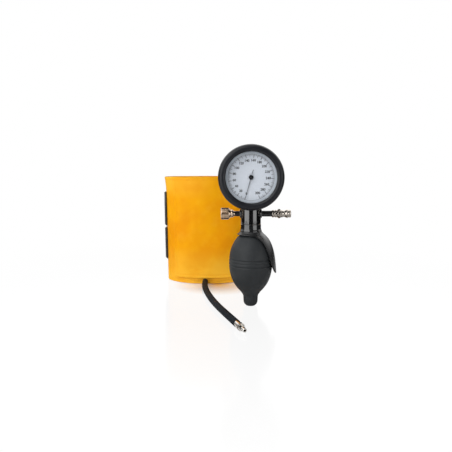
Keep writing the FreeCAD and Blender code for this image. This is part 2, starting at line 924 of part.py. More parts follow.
def make_neck():
    top = gauge_height - D.case_radius * NECK_TOP_SHARE
    block = cylinder("neck_block", D.neck_radius, top - D.parting_height,
                     in_unit(ZERO, ZERO, D.parting_height))
    back_bore = inlet_depth - D.neck_setback
    bores = [
        cylinder("gauge_seat", D.case_radius, case_depth,
                 in_gauge(ZERO, ZERO, ZERO), BACK),
        cylinder("spigot_socket", D.thread_radius, D.thread_length,
                 in_unit(ZERO, ZERO, D.parting_height)),
        cylinder("neck_main_bore", D.air_bore_radius, fitting_height - D.parting_height,
                 in_unit(ZERO, ZERO, D.parting_height)),
        cylinder("neck_cross_bore", D.arm_bore_radius, 2 * D.neck_radius,
                 in_unit(-D.neck_radius, ZERO, fitting_height), RIGHT),
        cylinder("neck_back_bore", D.inlet_radius, back_bore,
                 in_unit(ZERO, ZERO, fitting_height), BACK),
        cylinder("neck_feed_bore", D.inlet_radius, top - fitting_height,
                 in_unit(ZERO, back_bore, fitting_height)),
        cylinder("valve_socket", D.stem_radius, D.fitting_engagement,
                 in_unit(D.fitting_engagement - D.neck_radius, ZERO, fitting_height), LEFT),
        cylinder("arm_socket", D.arm_radius, D.fitting_engagement,
                 in_unit(D.neck_radius - D.fitting_engagement, ZERO, fitting_height), RIGHT),
    ]
    for side in (-1, 1):
        bores.append(cylinder("neck_screw_hole", D.neck_screw_radius, D.case_radius,
                              in_unit(side * D.neck_screw_spacing, ZERO, neck_screw_foot)))
    node(cut("neck", block, bores), "neck_manifold")

    screws = []
    for side in (-1, 1):
        x = side * D.neck_screw_spacing
        shank = cylinder("neck_screw_shank", D.neck_screw_radius,
                         neck_screw_seat - neck_screw_foot, in_unit(x, ZERO, neck_screw_foot))
        head = cylinder("neck_screw_head", D.screw_head_radius, D.neck_screw_head_depth,
                        in_unit(x, ZERO, neck_screw_seat))
        screws.append(fuse("neck_screw", [shank, head]))
    node(group("neck_screw_pair", screws), "neck_screws")


def make_spigot():
    chamber = barb_foot + D.valve_chamber_height
    chamfer = D.barb_radius / 8
    turned("bulb_spigot", [
        (D.air_bore_radius, D.parting_height + D.thread_length),
        (D.air_bore_radius, chamber),
        (D.valve_chamber_radius, chamber),
        (D.valve_chamber_radius, barb_foot),
        (D.barb_radius - chamfer, barb_foot),
        (D.barb_radius, barb_foot + chamfer),
        (D.barb_radius, flange_foot),
        (D.flange_radius, flange_foot),
        (D.flange_radius, flange_top),
        (D.journal_radius, flange_top),
        (D.journal_radius, D.parting_height),
        (D.thread_radius, D.parting_height),
        (D.thread_radius, D.parting_height + D.thread_length),
    ], in_unit(ZERO, ZERO, ZERO))


def make_check_valve(prefix, seat_foot, seat_height, radius, hole):
    turned(prefix + "_valve_seat", [
        (hole, seat_foot),
        (radius, seat_foot),
        (radius, seat_foot + seat_height),
        (hole, seat_foot + seat_height),
    ], in_unit(ZERO, ZERO, ZERO))
    make_check_disc(prefix, seat_foot + seat_height)


def make_check_disc(prefix, seat_top):
    node(cylinder(prefix + "_disc", D.check_disc_radius, D.check_disc_thickness,
                  in_unit(ZERO, ZERO, seat_top + D.check_disc_rest)), prefix + "_valve_disc")


# ---- hand guard ---------------------------------------------------------------------

def make_guard():
    top = D.parting_height - D.guard_end_play
    foot = flange_top + D.guard_end_play
    skirt = bulb_top + D.skirt_gap
    bend = D.bulb_equator_height + (
        D.parting_height - D.bulb_equator_height) * GUARD_BEND_SHARE
    inner = D.bulb_equator_radius + D.guard_gap
    outer = inner + D.guard_wall
    inner_arc = bulb_top_arc + D.guard_gap
    outer_arc = inner_arc + D.guard_wall
    waist = D.neck_radius + D.collar_flare
    waist_height = D.parting_height - D.collar_length * GUARD_WAIST_SHARE
    skirt_outer = waist + D.skirt_flare
    skirt_inner = skirt_outer - D.guard_wall
    tip = D.guard_tip_height - OVERSHOOT

    body = new_body("hand_guard")
    revolve(body, [
        (D.journal_radius + D.guard_play, top),
        (D.journal_radius + D.guard_play, foot),
        (D.flange_radius + D.skirt_gap * 2, foot),
        (D.flange_radius + D.skirt_gap * 2, skirt + D.skirt_gap),
        (skirt_inner, skirt),
        (skirt_outer, skirt),
        (waist, waist_height),
        (D.neck_radius, top),
    ])
    rise = bend - D.bulb_equator_height
    bend_inner = inner - inner_arc + (inner_arc * inner_arc - rise * rise).root()
    bend_outer = outer - outer_arc + (outer_arc * outer_arc - rise * rise).root()
    revolve(body, [
        (waist, waist_height),
        (skirt_inner, skirt),
        (bend_inner, bend),
        (inner, D.bulb_equator_height, -inner_arc),
        (inner + D.guard_tip_flare, tip),
        (outer + D.guard_tip_flare, tip),
        (outer, D.bulb_equator_height),
        (bend_outer, bend, outer_arc),
    ], 180.0)

    far = ring_radius
    rise = D.guard_tip_shoulder_height - D.guard_tip_height
    tip_arc = (D.guard_tip_half_width * D.guard_tip_half_width + rise * rise) / (2 * rise)
    low = tip - OVERSHOOT

    def beside(sketch):
        high = skirt - D.skirt_gap
        outline(sketch, [
            (-D.guard_half_width, high),
            (-far, high),
            (-far, low),
            (far, low),
            (far, high),
            (D.guard_half_width, high),
            (D.guard_half_width, D.guard_shoulder_height),
            (D.guard_tip_half_width, D.guard_tip_shoulder_height),
            (-D.guard_tip_half_width, D.guard_tip_shoulder_height, -tip_arc),
            (-D.guard_half_width, D.guard_shoulder_height),
        ])

    pocket_through(body, "YZ_Plane", beside)
    place(body, in_unit(ZERO, ZERO, ZERO))
    nodes.append(body)


# ---- bulb ---------------------------------------------------------------------------

def tangent_arc(rise, reach):
    """Radius of an arc that starts upright and ends reach inwards at that rise."""
    return (rise * rise + reach * reach) / (2 * reach)


def inside_at(arc, height):
    """Distance of the bulb's inner face from its axis at a height."""
    rise = height - D.bulb_equator_height
    inner = arc - D.bulb_wall
    return D.bulb_equator_radius - arc + (inner * inner - rise * rise).root()


def make_bulb():
    roof = bulb_top - 2 * D.bulb_wall
    floor = D.intake_floor + D.intake_height + D.bulb_wall
    sleeve = D.barb_radius + D.bulb_wall
    turned("bulb", [
        (D.barb_radius, bulb_top),
        (D.barb_radius, barb_foot),
        (sleeve, barb_foot),
        (sleeve, roof),
        (inside_at(bulb_top_arc, roof), roof),
        (D.bulb_equator_radius - D.bulb_wall, D.bulb_equator_height,
         -(bulb_top_arc - D.bulb_wall)),
        (inside_at(bulb_foot_arc, floor), floor, -(bulb_foot_arc - D.bulb_wall)),
        (D.intake_radius, floor - D.bulb_wall),
        (D.intake_radius, D.intake_floor),
        (D.intake_bore_radius, D.intake_floor),
        (D.intake_bore_radius, ZERO),
        (D.stub_radius - D.stub_rounding, ZERO),
        (D.stub_radius, D.stub_rounding, D.stub_rounding),
        (D.stub_radius, D.stub_height),
        (D.bulb_foot_radius, D.bulb_foot_height),
        (D.bulb_equator_radius, D.bulb_equator_height, bulb_foot_arc),
        (D.bulb_top_radius, bulb_top, bulb_top_arc),
    ], in_unit(ZERO, ZERO, ZERO))


def make_intake():
    foot = D.intake_floor
    top = foot + D.intake_height
    seat = top - D.intake_chamber_height
    turned("intake_valve_body", [
        (D.intake_bore_radius, foot),
        (D.intake_radius, foot),
        (D.intake_radius, top),
        (D.intake_chamber_radius, top),
        (D.intake_chamber_radius, seat),
        (D.intake_bore_radius, seat),
    ], in_unit(ZERO, ZERO, ZERO))
    make_check_disc("intake", seat)
    turned("intake_retainer", [
        (D.intake_bore_radius, top - D.intake_retainer_height),
        (D.intake_chamber_radius, top - D.intake_retainer_height),
        (D.intake_chamber_radius, top),
        (D.intake_bore_radius, top),
    ], in_unit(ZERO, ZERO, ZERO))
    node(cylinder("dust_screen", D.intake_bore_radius, D.filter_thickness,
                  in_unit(ZERO, ZERO, foot)), "intake_filter")


# ---- release valve ------------------------------------------------------------------

def make_release_valve():
    start = D.neck_radius - D.fitting_engagement
    packing = start + D.seat_length
    packing_end = packing + D.packing_length
    bearing_end = D.stem_reach + D.knob_bearing_length
    bore = D.needle_radius + D.needle_play
    origin = in_unit(ZERO, ZERO, fitting_height)
    stem = new_body("valve_stem_blank")
    revolve(stem, [
        (D.seat_hole_radius, start),
        (D.seat_hole_radius, packing),
        (D.packing_radius, packing),
        (D.packing_radius, packing_end),
        (bore, packing_end),
        (bore, bearing_end),
        (D.knob_bearing_radius, bearing_end),
        (D.knob_bearing_radius, D.stem_reach),
        (D.stem_radius, D.stem_reach),
        (D.stem_radius, start),
    ])
    place(stem, origin, LEFT)
    bleed = cylinder("bleed_hole", D.bleed_radius, 2 * D.stem_radius,
                     in_unit(-(packing_end - 2 * D.bleed_radius), ZERO, fitting_height), BACK)
    node(cut("valve_stem", stem, [bleed]), "valve_stem")

    knob_end = D.stem_reach + D.knob_taper_length + D.knob_length
    tip = packing - D.needle_tip_entry
    turned("valve_needle", [
        (ZERO, tip),
        (D.needle_tip_radius, tip),
        (D.needle_radius, tip + D.needle_tip_length),
        (D.needle_radius, knob_end - D.knob_end_wall - D.needle_end_room),
        (ZERO, knob_end - D.knob_end_wall - D.needle_end_room),
    ], origin, LEFT)

    ring = doc.addObject("Part::Torus", "packing_ring")
    bind(ring, "Radius1", D.packing_radius - D.packing_ring_wire * PACKING_PINCH)
    bind(ring, "Radius2", D.packing_ring_wire)
    place(ring, in_unit(-(packing + D.packing_length / 2), ZERO, fitting_height), LEFT)
    node(ring, "valve_o_ring")

    taper_end = D.stem_reach + D.knob_taper_length
    knob = new_body("valve_knob")
    revolve(knob, [
        (D.knob_bearing_radius + D.knob_play, D.stem_reach + D.knob_play),
        (D.stem_radius - D.knob_play, D.stem_reach + D.knob_play),
        (D.knob_collar_radius, taper_end),
        (D.knob_radius - D.knob_chamfer, taper_end),
        (D.knob_radius, taper_end + D.knob_chamfer),
        (D.knob_radius, knob_end - D.knob_chamfer),
        (D.knob_radius - D.knob_chamfer, knob_end),
        (ZERO, knob_end),
        (ZERO, knob_end - D.knob_end_wall),
        (D.needle_radius + 2 * D.knob_play, knob_end - D.knob_end_wall),
        (D.needle_radius + 2 * D.knob_play, bearing_end + 4 * D.knob_play),
        (D.knob_bearing_radius + D.knob_play, bearing_end + 4 * D.knob_play),
    ])
    knurl(knob, D.knob_radius, D.knurl_depth, D.knurl_grooves, taper_end, knob_end)
    place(knob, origin, LEFT)
    nodes.append(knob)


def knurl(body, radius, depth, count, start, end):
    """Grip grooves along a turned knob between two stations of its axis."""
    width = depth * GROOVE_SHARE
    # drawn at the start station and raised to the end, so that only the head is cut
    sketch = new_sketch(body, "XY_Plane")
    outline(sketch, [
        (radius - depth, ZERO),
        (radius + depth, width),
        (radius + depth, -width),
    ])
    bind(sketch, ".AttachmentOffset.Base.z", start)
    groove = body.newObject("PartDesign::Pocket", body.Label + "_groove")
    groove.Profile = sketch
    groove.Reversed = True
    bind(groove, "Length", end - start)
    around(body, groove, sketch, count)


# ---- the unit's hose connector ------------------------------------------------------

def make_connector():
    start = D.neck_radius - D.fitting_engagement
    origin = in_unit(ZERO, ZERO, fitting_height)
    spigot_end = D.arm_reach + D.arm_spigot_length
    turned("air_arm", [
        (D.arm_bore_radius, start),
        (D.arm_radius, start),
        (D.arm_radius, D.arm_reach),
        (D.arm_spigot_radius, D.arm_reach),
        (D.arm_spigot_radius, spigot_end),
        (D.arm_bore_radius, spigot_end),
    ], origin, RIGHT)

    lock_start = D.arm_reach + D.connector_length
    lock_end = lock_start + D.lock_bearing_length
    turned("connector_body", [
        (D.arm_spigot_radius, D.arm_reach),
        (D.connector_radius, D.arm_reach),
        (D.connector_radius, lock_start),
        (D.lock_bearing_radius, lock_start),
        (D.lock_bearing_radius, lock_end),
        (D.arm_bore_radius, lock_end),
        (D.arm_bore_radius, spigot_end),
        (D.arm_spigot_radius, spigot_end),
    ], origin, RIGHT)

    socket_start = lock_start + D.lock_ring_length
    play = D.lock_ring_play
    turned("connector_lock_ring", [
        (D.lock_bearing_radius + play, lock_start + play),
        (D.lock_ring_radius - D.lock_ring_chamfer, lock_start + play),
        (D.lock_ring_radius, lock_start + play + D.lock_ring_chamfer),
        (D.lock_ring_radius, socket_start - play - D.lock_ring_chamfer),
        (D.lock_ring_radius - D.lock_ring_chamfer, socket_start - play),
        (D.lock_bearing_radius + play, socket_start - play),
    ], origin, RIGHT)

    bead = connector_reach - D.socket_bead_length
    turned("connector_socket", [
        (D.lock_bearing_radius, socket_start),
        (D.socket_radius, socket_start),
        (D.socket_radius, bead - D.seal_thickness),
        (D.socket_bead_radius, bead),
        (D.socket_bead_radius, bead + D.socket_bead_length * BEAD_LAND_SHARE),
        (D.socket_mouth_radius, connector_reach),
        (D.socket_bore_radius, connector_reach),
        (D.socket_bore_radius, lock_end + D.seal_thickness),
        (D.lock_bearing_radius, lock_end + D.seal_thickness),
    ], origin, RIGHT)
    turned("connector_seal", [
        (D.arm_bore_radius, lock_end),
        (D.lock_bearing_radius, lock_end),
        (D.lock_bearing_radius, lock_end + D.seal_thickness),
        (D.arm_bore_radius, lock_end + D.seal_thickness),
    ], origin, RIGHT)


# ---- cuff ---------------------------------------------------------------------------

def oval(sketch, offset):
    """The cuff's plan, moved outwards by offset: two end arcs and two long arcs."""
    wide = D.cuff_half_width - D.cuff_end_radius
    ends = D.cuff_end_radius
    deep = D.cuff_half_depth
    long_arc = (wide * wide + deep * deep - ends * ends) / (2 * (deep - ends))
    span = long_arc - ends
    cosine = wide / span
    sine = (long_arc - deep) / span
    x = wide + (ends + offset) * cosine
    y = (ends + offset) * sine
    outline(sketch, [
        (x, y, ends + offset),
        (-x, y, long_arc + offset),
        (-x, -y, ends + offset),
        (x, -y, long_arc + offset),
    ])


def wound(label, inner, outer, foot, height, windows=()):
    """A wall that follows the cuff's plan between two offsets, less some windows."""
    body = new_body(label)

    def draw(sketch):
        oval(sketch, outer)
        oval(sketch, inner)

    pad(body, draw, height)
    for left, right, front, back in windows:
        def window(sketch):
            outline(sketch, [(left, front), (right, front), (right, back), (left, back)])

        pocket_through(body, "XY_Plane", window)
    place(body, (cuff_x, cuff_y, Size.of(foot)))
    return body


def make_cuff():
    far = D.cuff_half_width + D.cuff_half_depth
    cover_in = -(D.cover_thickness + D.bladder_thickness)
    nodes.append(wound("cuff_lining", cover_in - D.lining_thickness, cover_in, ZERO,
                       D.cuff_height))
    behind = [(-far, far, D.bladder_edge, far)]
    bladder = wound("bladder", cover_in, -D.cover_thickness, D.bladder_foot,
                    D.bladder_height, behind)
    nodes.append(bladder)

    # the port drops from the bladder's foot and turns out through the cover
    port_y = cuff_y - D.cuff_half_depth + (D.cover_thickness + D.bladder_thickness) / 2
    front = cuff_y - D.cuff_half_depth
    leg = cylinder("port_leg", D.port_radius, D.bladder_foot - D.hose_lift,
                   (hose_x, port_y, D.hose_lift))
    foot = cylinder("port_foot", D.port_radius, port_y - front + D.eyelet_thickness,
                    (hose_x, front - D.eyelet_thickness, D.hose_lift), BACK)
    knee = doc.addObject("Part::Sphere", "port_knee")
    bind(knee, "Radius", D.port_radius)
    place(knee, (hose_x, port_y, D.hose_lift))
    port = fuse("port_solid", [leg, foot, knee])
    bores = [
        cylinder("port_leg_bore", D.port_bore_radius, D.bladder_foot,
                 (hose_x, port_y, D.hose_lift)),
        cylinder("port_foot_bore", D.port_bore_radius, D.cuff_half_depth / 4,
                 (hose_x, port_y - D.cuff_half_depth / 4, D.hose_lift), BACK),
    ]
    node(cut("port", port, bores), "bladder_port")

    cover = wound("cover_wall", cover_in, ZERO, ZERO, D.cuff_height)
    node(cut("cover", cover, [bladder, port]), "cuff_cover")
    eyelet = cylinder("eyelet_disc", D.eyelet_radius, D.eyelet_thickness,
                      (hose_x, front - D.eyelet_thickness, D.hose_lift), BACK)
    node(cut("eyelet", eyelet, [port, cover]), "port_eyelet")

    past_root = [(-far, -D.flap_edge, -far, far), (-far, far, D.flap_root, far)]
    flap_height = D.cuff_height - D.flap_foot
    nodes.append(wound("loop_panel", ZERO, D.loop_thickness, D.flap_foot, flap_height,
                       past_root))
    nodes.append(wound("cuff_flap", D.loop_thickness, D.loop_thickness + D.flap_thickness,
                       D.flap_foot, flap_height, past_root))
    beside = [
        (-D.flap_edge, far, -far, far),
        (-far, far, -far, -D.hook_front),
        (-far, far, D.hook_back, far),
    ]
    for label, low, height in (
            ("hook_patch_upper", D.upper_hook_foot, D.upper_hook_height),
            ("hook_patch_lower", D.lower_hook_foot, D.lower_hook_height)):
        nodes.append(wound(label, ZERO, D.hook_thickness, low, height, beside))


# ---- hose and plug ------------------------------------------------------------------

def rounded_route(points):
    """Straight runs joined by tangent arcs, each as large as its runs allow."""
    edges = []
    last = points[0]
    for before, here, after in zip(points, points[1:], points[2:]):
        coming = here - before
        going = after - here
        turn = coming.getAngle(going)
        setback = HOSE_ARC_SHARE * min(coming.Length, going.Length)
        radius = setback / math.tan(turn / 2)
        start = here - Vector(coming).normalize() * setback
        end = here + Vector(going).normalize() * setback
        inwards = (start + end) * 0.5 - here
        depth = radius / math.cos(turn / 2) - radius
        middle = here + inwards.normalize() * depth
        edges.append(Part.LineSegment(last, start).toShape())
        edges.append(Part.Arc(start, middle, end).toShape())
        print("hose radius %.0f mm" % radius)
        last = end
    edges.append(Part.LineSegment(last, points[-1]).toShape())
    return Part.Wire(edges)


def make_hose():
    start = Vector(hose_x.value, hose_y.value, D.hose_lift.value)
    points = [start + Vector(x, y, 0) for x, y in HOSE_ROUTE]
    path = rounded_route(points)
    first = points[1] - points[0]
    section = Part.Wire([Part.Circle(points[0], first, D.hose_radius.value).toShape()])
    hose = doc.addObject("Part::Feature", "hose_tube")
    hose.Shape = path.makePipeShell([section], True, True)
    expected = math.pi * D.hose_radius.value ** 2 * path.Length
    print("hose length %.1f mm, volume ratio %.4f" % (path.Length, hose.Shape.Volume / expected))
    node(hose, "hose")


def make_plug():
    end = Vector(*HOSE_ROUTE[-1], 0)
    heading = end - Vector(*HOSE_ROUTE[-2], 0)
    turn = Rotation(Vector(0, 0, 1), heading)
    spot = (hose_x + end.x, hose_y + end.y, D.hose_lift)
    bearing = D.plug_length + D.plug_bearing_length
    collar = bearing + D.plug_collar_length
    tip = collar + D.pin_length
    turned("hose_plug", [
        (D.plug_bore_radius, ZERO),
        (D.plug_radius, ZERO),
        (D.plug_radius, D.plug_length),
        (D.plug_bearing_radius, D.plug_length),
        (D.plug_bearing_radius, bearing),
        (D.plug_radius, bearing),
        (D.plug_radius, collar),
        (D.pin_radius, collar),
        (D.pin_radius, tip - D.pin_chamfer),
        (D.pin_radius - D.pin_chamfer, tip),
        (D.plug_bore_radius, tip),
    ], spot, turn)
    nut = new_body("plug_nut")
    start = D.plug_length + (D.plug_bearing_length - D.nut_length) / 2
    revolve(nut, [
        (D.plug_bearing_radius + D.nut_play, start),
        (D.nut_radius, start),
        (D.nut_radius, start + D.nut_length),
        (D.plug_bearing_radius + D.nut_play, start + D.nut_length),
    ])
    knurl(nut, D.nut_radius, D.nut_groove_depth, D.nut_grooves, start, start + D.nut_length)
    place(nut, spot, turn)
    nodes.append(nut)


# ---- build --------------------------------------------------------------------------

bulb_top_arc = tangent_arc(bulb_top - D.bulb_equator_height,
                           D.bulb_equator_radius - D.bulb_top_radius)
bulb_foot_arc = tangent_arc(D.bulb_equator_height - D.bulb_foot_height,
                            D.bulb_equator_radius - D.bulb_foot_radius)
inlet_depth = capsule_back - D.capsule_depth / 2
neck_screw_rim = D.neck_screw_spacing + D.screw_head_radius
neck_screw_seat = gauge_height - (
    case_bore * case_bore - neck_screw_rim * neck_screw_rim).root()
neck_screw_foot = neck_screw_seat - D.case_wall - D.neck_screw_length
rocker_thin = D.rocker_radius * ROCKER_ARM_SHARE
rocker_arm_x = sector_x - 4 * D.sector_shaft_radius - rocker_thin - D.rocker_gap * ROCKER_ARM_ROOM

make_shock_ring()
make_gauge_case()
ring_between("bezel_ring", mouth_radius - D.bezel_width, mouth_radius, D.ring_lip,
             D.bezel_depth)
disc("gauge_lens", mouth_radius, lens_depth, D.lens_thickness)
ring_between("dial_spacer", mouth_radius - D.bezel_width, mouth_radius, spacer_start,
             D.spacer_depth)
ring_between("dial_plate", D.dial_hole_radius, mouth_radius, dial_depth, D.dial_thickness)
make_pointer()
make_pointer_hub()
make_pinion()
make_arbor()
make_hairspring()
make_plates()
make_pillars()
make_sector()
make_rocker()
make_capsule()
make_neck()
make_spigot()
make_check_valve("outlet", barb_foot, D.check_seat_height, D.valve_chamber_radius,
                 D.check_hole_radius)
make_guard()
make_bulb()
make_intake()
make_release_valve()
make_connector()
make_cuff()
make_hose()
make_plug()

doc.recompute()
faults = []
for item in doc.Objects:
    if "Invalid" in item.State or "Error" in item.State:
        faults.append("%s failed: %s" % (item.Label, item.State))
for item in nodes:
    if item.Shape.isNull() or not item.Shape.isValid() or not item.Shape.Solids:
        faults.append("%s has no valid solid" % item.Label)
if faults:
    raise RuntimeError("; ".join(faults))

os.makedirs("parts", exist_ok=True)
for item in nodes:
    item.Shape.exportStep("parts/%s.step" % item.Label)
    bounds = item.Shape.BoundBox
    print("%-22s solids %d volume %10.2f  z %.1f to %.1f" % (
        item.Label, len(item.Shape.Solids), item.Shape.Volume, bounds.ZMin, bounds.ZMax))
print(len(nodes), "nodes")
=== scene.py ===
import json
import math

import bmesh
import bpy
from mathutils import Matrix, Vector, noise
from mathutils.bvhtree import BVHTree


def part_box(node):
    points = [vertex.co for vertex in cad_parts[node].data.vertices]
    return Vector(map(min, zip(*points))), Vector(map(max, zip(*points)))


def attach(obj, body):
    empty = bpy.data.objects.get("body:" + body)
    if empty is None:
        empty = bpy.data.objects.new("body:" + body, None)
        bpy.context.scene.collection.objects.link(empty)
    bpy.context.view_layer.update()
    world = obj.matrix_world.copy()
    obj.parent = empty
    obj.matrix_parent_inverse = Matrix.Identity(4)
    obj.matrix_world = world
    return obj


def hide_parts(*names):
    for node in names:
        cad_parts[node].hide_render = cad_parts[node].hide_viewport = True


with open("model.json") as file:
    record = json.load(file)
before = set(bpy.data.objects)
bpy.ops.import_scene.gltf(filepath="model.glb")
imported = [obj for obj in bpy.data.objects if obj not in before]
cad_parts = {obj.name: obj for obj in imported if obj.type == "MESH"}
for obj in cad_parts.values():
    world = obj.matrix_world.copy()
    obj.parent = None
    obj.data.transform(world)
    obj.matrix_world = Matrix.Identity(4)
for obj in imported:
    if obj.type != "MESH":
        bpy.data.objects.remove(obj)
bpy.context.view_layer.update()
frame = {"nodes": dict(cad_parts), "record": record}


# places that the frame gives, in metres

def middle(node):
    low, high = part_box(node)
    return (low + high) / 2


unitAxis = middle("bulb")
gaugeAxis = middle("gauge_lens")
cuffMiddle = middle("cuff_cover")
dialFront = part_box("dial_plate")[0].y
fittingHeight = middle("air_arm").z
hoseExit = middle("port_eyelet")

upright = Matrix.Translation((unitAxis.x, unitAxis.y, 0))
toViewer = Matrix.Rotation(math.pi / 2, 4, "X")  # a piece's own +Z turned to -Y
toLeft = Matrix.Rotation(-math.pi / 2, 4, "Y")
toRight = Matrix.Rotation(math.pi / 2, 4, "Y")
toBack = Matrix.Rotation(-math.pi / 2, 4, "X")
gaugePlace = Matrix.Translation((gaugeAxis.x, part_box("shock_ring")[0].y, gaugeAxis.z)) @ toBack
fittingPlace = Matrix.Translation((unitAxis.x, unitAxis.y, fittingHeight))
valvePlace = fittingPlace @ toLeft
connectorPlace = fittingPlace @ toRight


# node trees: a socket that takes plain arithmetic, and the tree that it is in

class Wire:
    def __init__(self, tree, socket):
        self.tree, self.socket = tree, socket

    def maths(self, operation, other=0.0):
        return self.tree.add("ShaderNodeMath", {"operation": operation}, {0: self, 1: other})

    def __add__(self, other):
        return self.maths("ADD", other)

    def __sub__(self, other):
        return self.maths("SUBTRACT", other)

    def __mul__(self, other):
        return self.maths("MULTIPLY", other)

    def __truediv__(self, other):
        return self.maths("DIVIDE", other)

    def __rsub__(self, other):
        return self.tree.add("ShaderNodeMath", {"operation": "SUBTRACT"}, {0: other, 1: self})

    def __pow__(self, other):
        return self.maths("POWER", other)

    __radd__ = __add__
    __rmul__ = __mul__

    def sine(self):
        return self.maths("SINE")

    def between(self, low, high):  # 0 below low, 1 above high
        return self.tree.add("ShaderNodeMapRange", {"clamp": True},
                             {"Value": self, "From Min": low, "From Max": high})


class Tree:
    def __init__(self, tree):
        self.tree = tree

    def add(self, kind, settings=None, inputs=None, output=0):
        node = self.tree.nodes.new(kind)
        for name, value in (settings or {}).items():
            setattr(node, name, value)
        for name, value in (inputs or {}).items():
            if isinstance(value, Wire):
                self.tree.links.new(value.socket, node.inputs[name])
            else:
                node.inputs[name].default_value = value
        return Wire(self, node.outputs[output]) if node.outputs else None

    def mixed(self, share, first, second):  # colours
        return self.add("ShaderNodeMix", {"data_type": "RGBA"}, {0: share, 6: first, 7: second}, 2)

    def parts(self, vector):
        return [self.add("ShaderNodeSeparateXYZ", {}, {0: vector}, axis) for axis in range(3)]

    def cloud(self, at, size, detail=3.0, rough=0.55):  # noise whose features are size metres across
        return self.add("ShaderNodeTexNoise", {}, {
            "Vector": at, "Scale": 1 / size, "Detail": detail, "Roughness": rough})

    def own(self):
        return self.add("ShaderNodeTexCoord", output="Object")

    def scaled(self, vector, amount):
        return self.add("ShaderNodeVectorMath", {"operation": "MULTIPLY"}, {0: vector, 1: amount})

    def vector(self, x=0.0, y=0.0, z=0.0):
        return self.add("ShaderNodeCombineXYZ", {}, {0: x, 1: y, 2: z})

    def heap(self, count):  # that many points, all in one place
        return self.add("GeometryNodeMeshLine", {"mode": "OFFSET", "count_mode": "TOTAL"}, {
            "Count": count, "Offset": (0, 0, 0)})

    def repeated(self, spots, piece, **values):
        return self.add("GeometryNodeInstanceOnPoints", {}, {"Points": spots, "Instance": piece, **values})


def finish(name, draw):
    material = bpy.data.materials.new(name)
    material.use_nodes = True
    material.node_tree.nodes.clear()
    tree = Tree(material.node_tree)
    tree.add("ShaderNodeOutputMaterial", {}, {"Surface": draw(tree)})
    return material


def surface(tree, height=None, depth=0.0, **values):
    # height is 0 to 1, and depth the metres that it stands for
    inputs = {name.replace("_", " "): value for name, value in values.items()}
    if height is not None:
        inputs["Normal"] = tree.add("ShaderNodeBump", {}, {
            "Strength": 1.0, "Distance": depth, "Height": height})
    return tree.add("ShaderNodeBsdfPrincipled", {}, inputs)


mouldUsual = {
    "grain": 0.0003, "grainDepth": 0.00002, "mottled": (0.3, 0.7), "rubbedSize": 2.6, "rubbed": (0.42, 0.68),
    "roughSwing": 0.2, "rubbedRough": 0.1, "coat": 0.0, "coatRough": 0.05, "glossSmooth": 0.7, "bend": 1.5,
    "shine": 0.5,
}


def moulded(name, own):
    # rubber and plastic out of a mould: a mottled colour, fine grain and rubbed patches
    look = {**mouldUsual, **own}

    def draw(tree):
        at = tree.own()
        mottle = tree.cloud(at, look["mottle"], 4.0)
        rubbed = tree.cloud(at, look["mottle"] * look["rubbedSize"], 2.0).between(*look["rubbed"])
        grain = tree.cloud(at, look["grain"], 2.0, 0.7)
        colour = tree.mixed(mottle.between(*look["mottled"]), look["colour"], look["lighter"])
        rough = look["rough"] + (grain - 0.5) * look["roughSwing"] + rubbed * look["rubbedRough"]
        coat = look["coat"]
        if "glossUp" in look:  # satin below, glossy above these heights
            coat = tree.parts(at)[2].between(*look["glossUp"])
            rough = rough * (1 - coat * look["glossSmooth"])
        return surface(tree, grain, look["grainDepth"], Base_Color=colour, Roughness=rough,
                       Coat_Weight=coat, Coat_Roughness=look["coatRough"], IOR=look["bend"],
                       Specular_IOR_Level=look["shine"])
    return finish(name, draw)


metalUsual = {
    "stain": 0.004, "stained": (0.35, 0.75), "along": (6.0, 1.0, 1.0), "line": 0.0012, "lineDepth": 0.000003,
    "roughSwing": 0.08, "stainRough": 0.06,
}


def turnedMetal(name, own):
    # metal off a lathe: fine rings along its axis, faint stains and handling marks
    look = {**metalUsual, **own}

    def draw(tree):
        at = tree.own()
        stain = tree.cloud(at, look["stain"], 3.0)
        lines = tree.cloud(tree.scaled(at, look["along"]), look["line"], 2.0, 0.6)
        colour = tree.mixed(stain.between(*look["stained"]), look["colour"], look["darker"])
        rough = look["rough"] + (lines - 0.5) * look["roughSwing"] + stain * look["stainRough"]
        return surface(tree, lines, look["lineDepth"], Base_Color=colour, Roughness=rough, Metallic=1.0)
    return finish(name, draw)


softRubber = moulded("softRubber", {
    "colour": (0.0078, 0.0085, 0.0112, 1), "lighter": (0.0112, 0.0122, 0.0158, 1), "mottle": 0.009,
    "grain": 0.00035, "grainDepth": 0.00003, "rough": 0.34, "shine": 0.28})
bulbRubber = moulded("bulbRubber", {
    "colour": (0.019, 0.0215, 0.0235, 1), "lighter": (0.025, 0.028, 0.0305, 1), "mottle": 0.012,
    "grain": 0.0004, "grainDepth": 0.00004, "rough": 0.52, "rubbedRough": 0.12, "shine": 0.28})
hoseRubber = moulded("hoseRubber", {
    "colour": (0.0098, 0.0128, 0.016, 1), "lighter": (0.0135, 0.017, 0.021, 1), "mottle": 0.015,
    "rough": 0.62, "roughSwing": 0.15, "rubbedRough": 0.12, "shine": 0.05})
sealRubber = moulded("sealRubber", {
    "colour": (0.011, 0.011, 0.012, 1), "lighter": (0.016, 0.016, 0.017, 1), "mottle": 0.003, "rough": 0.5})
smoothMould = {"mottle": 0.02, "grain": 0.0012, "grainDepth": 0.000004, "rubbedRough": 0.05}
glossPlastic = moulded("glossPlastic", {
    **smoothMould, "colour": (0.0048, 0.0048, 0.0052, 1), "lighter": (0.0064, 0.0064, 0.0068, 1),
    "rough": 0.08, "roughSwing": 0.04, "coat": 1.0, "bend": 1.62})
guardPlastic = moulded("guardPlastic", {
    **smoothMould, "colour": (0.0115, 0.0118, 0.0125, 1), "lighter": (0.0145, 0.0149, 0.0157, 1),
    "rough": 0.27, "roughSwing": 0.06, "glossUp": (0.0838, 0.0852), "shine": 0.42})
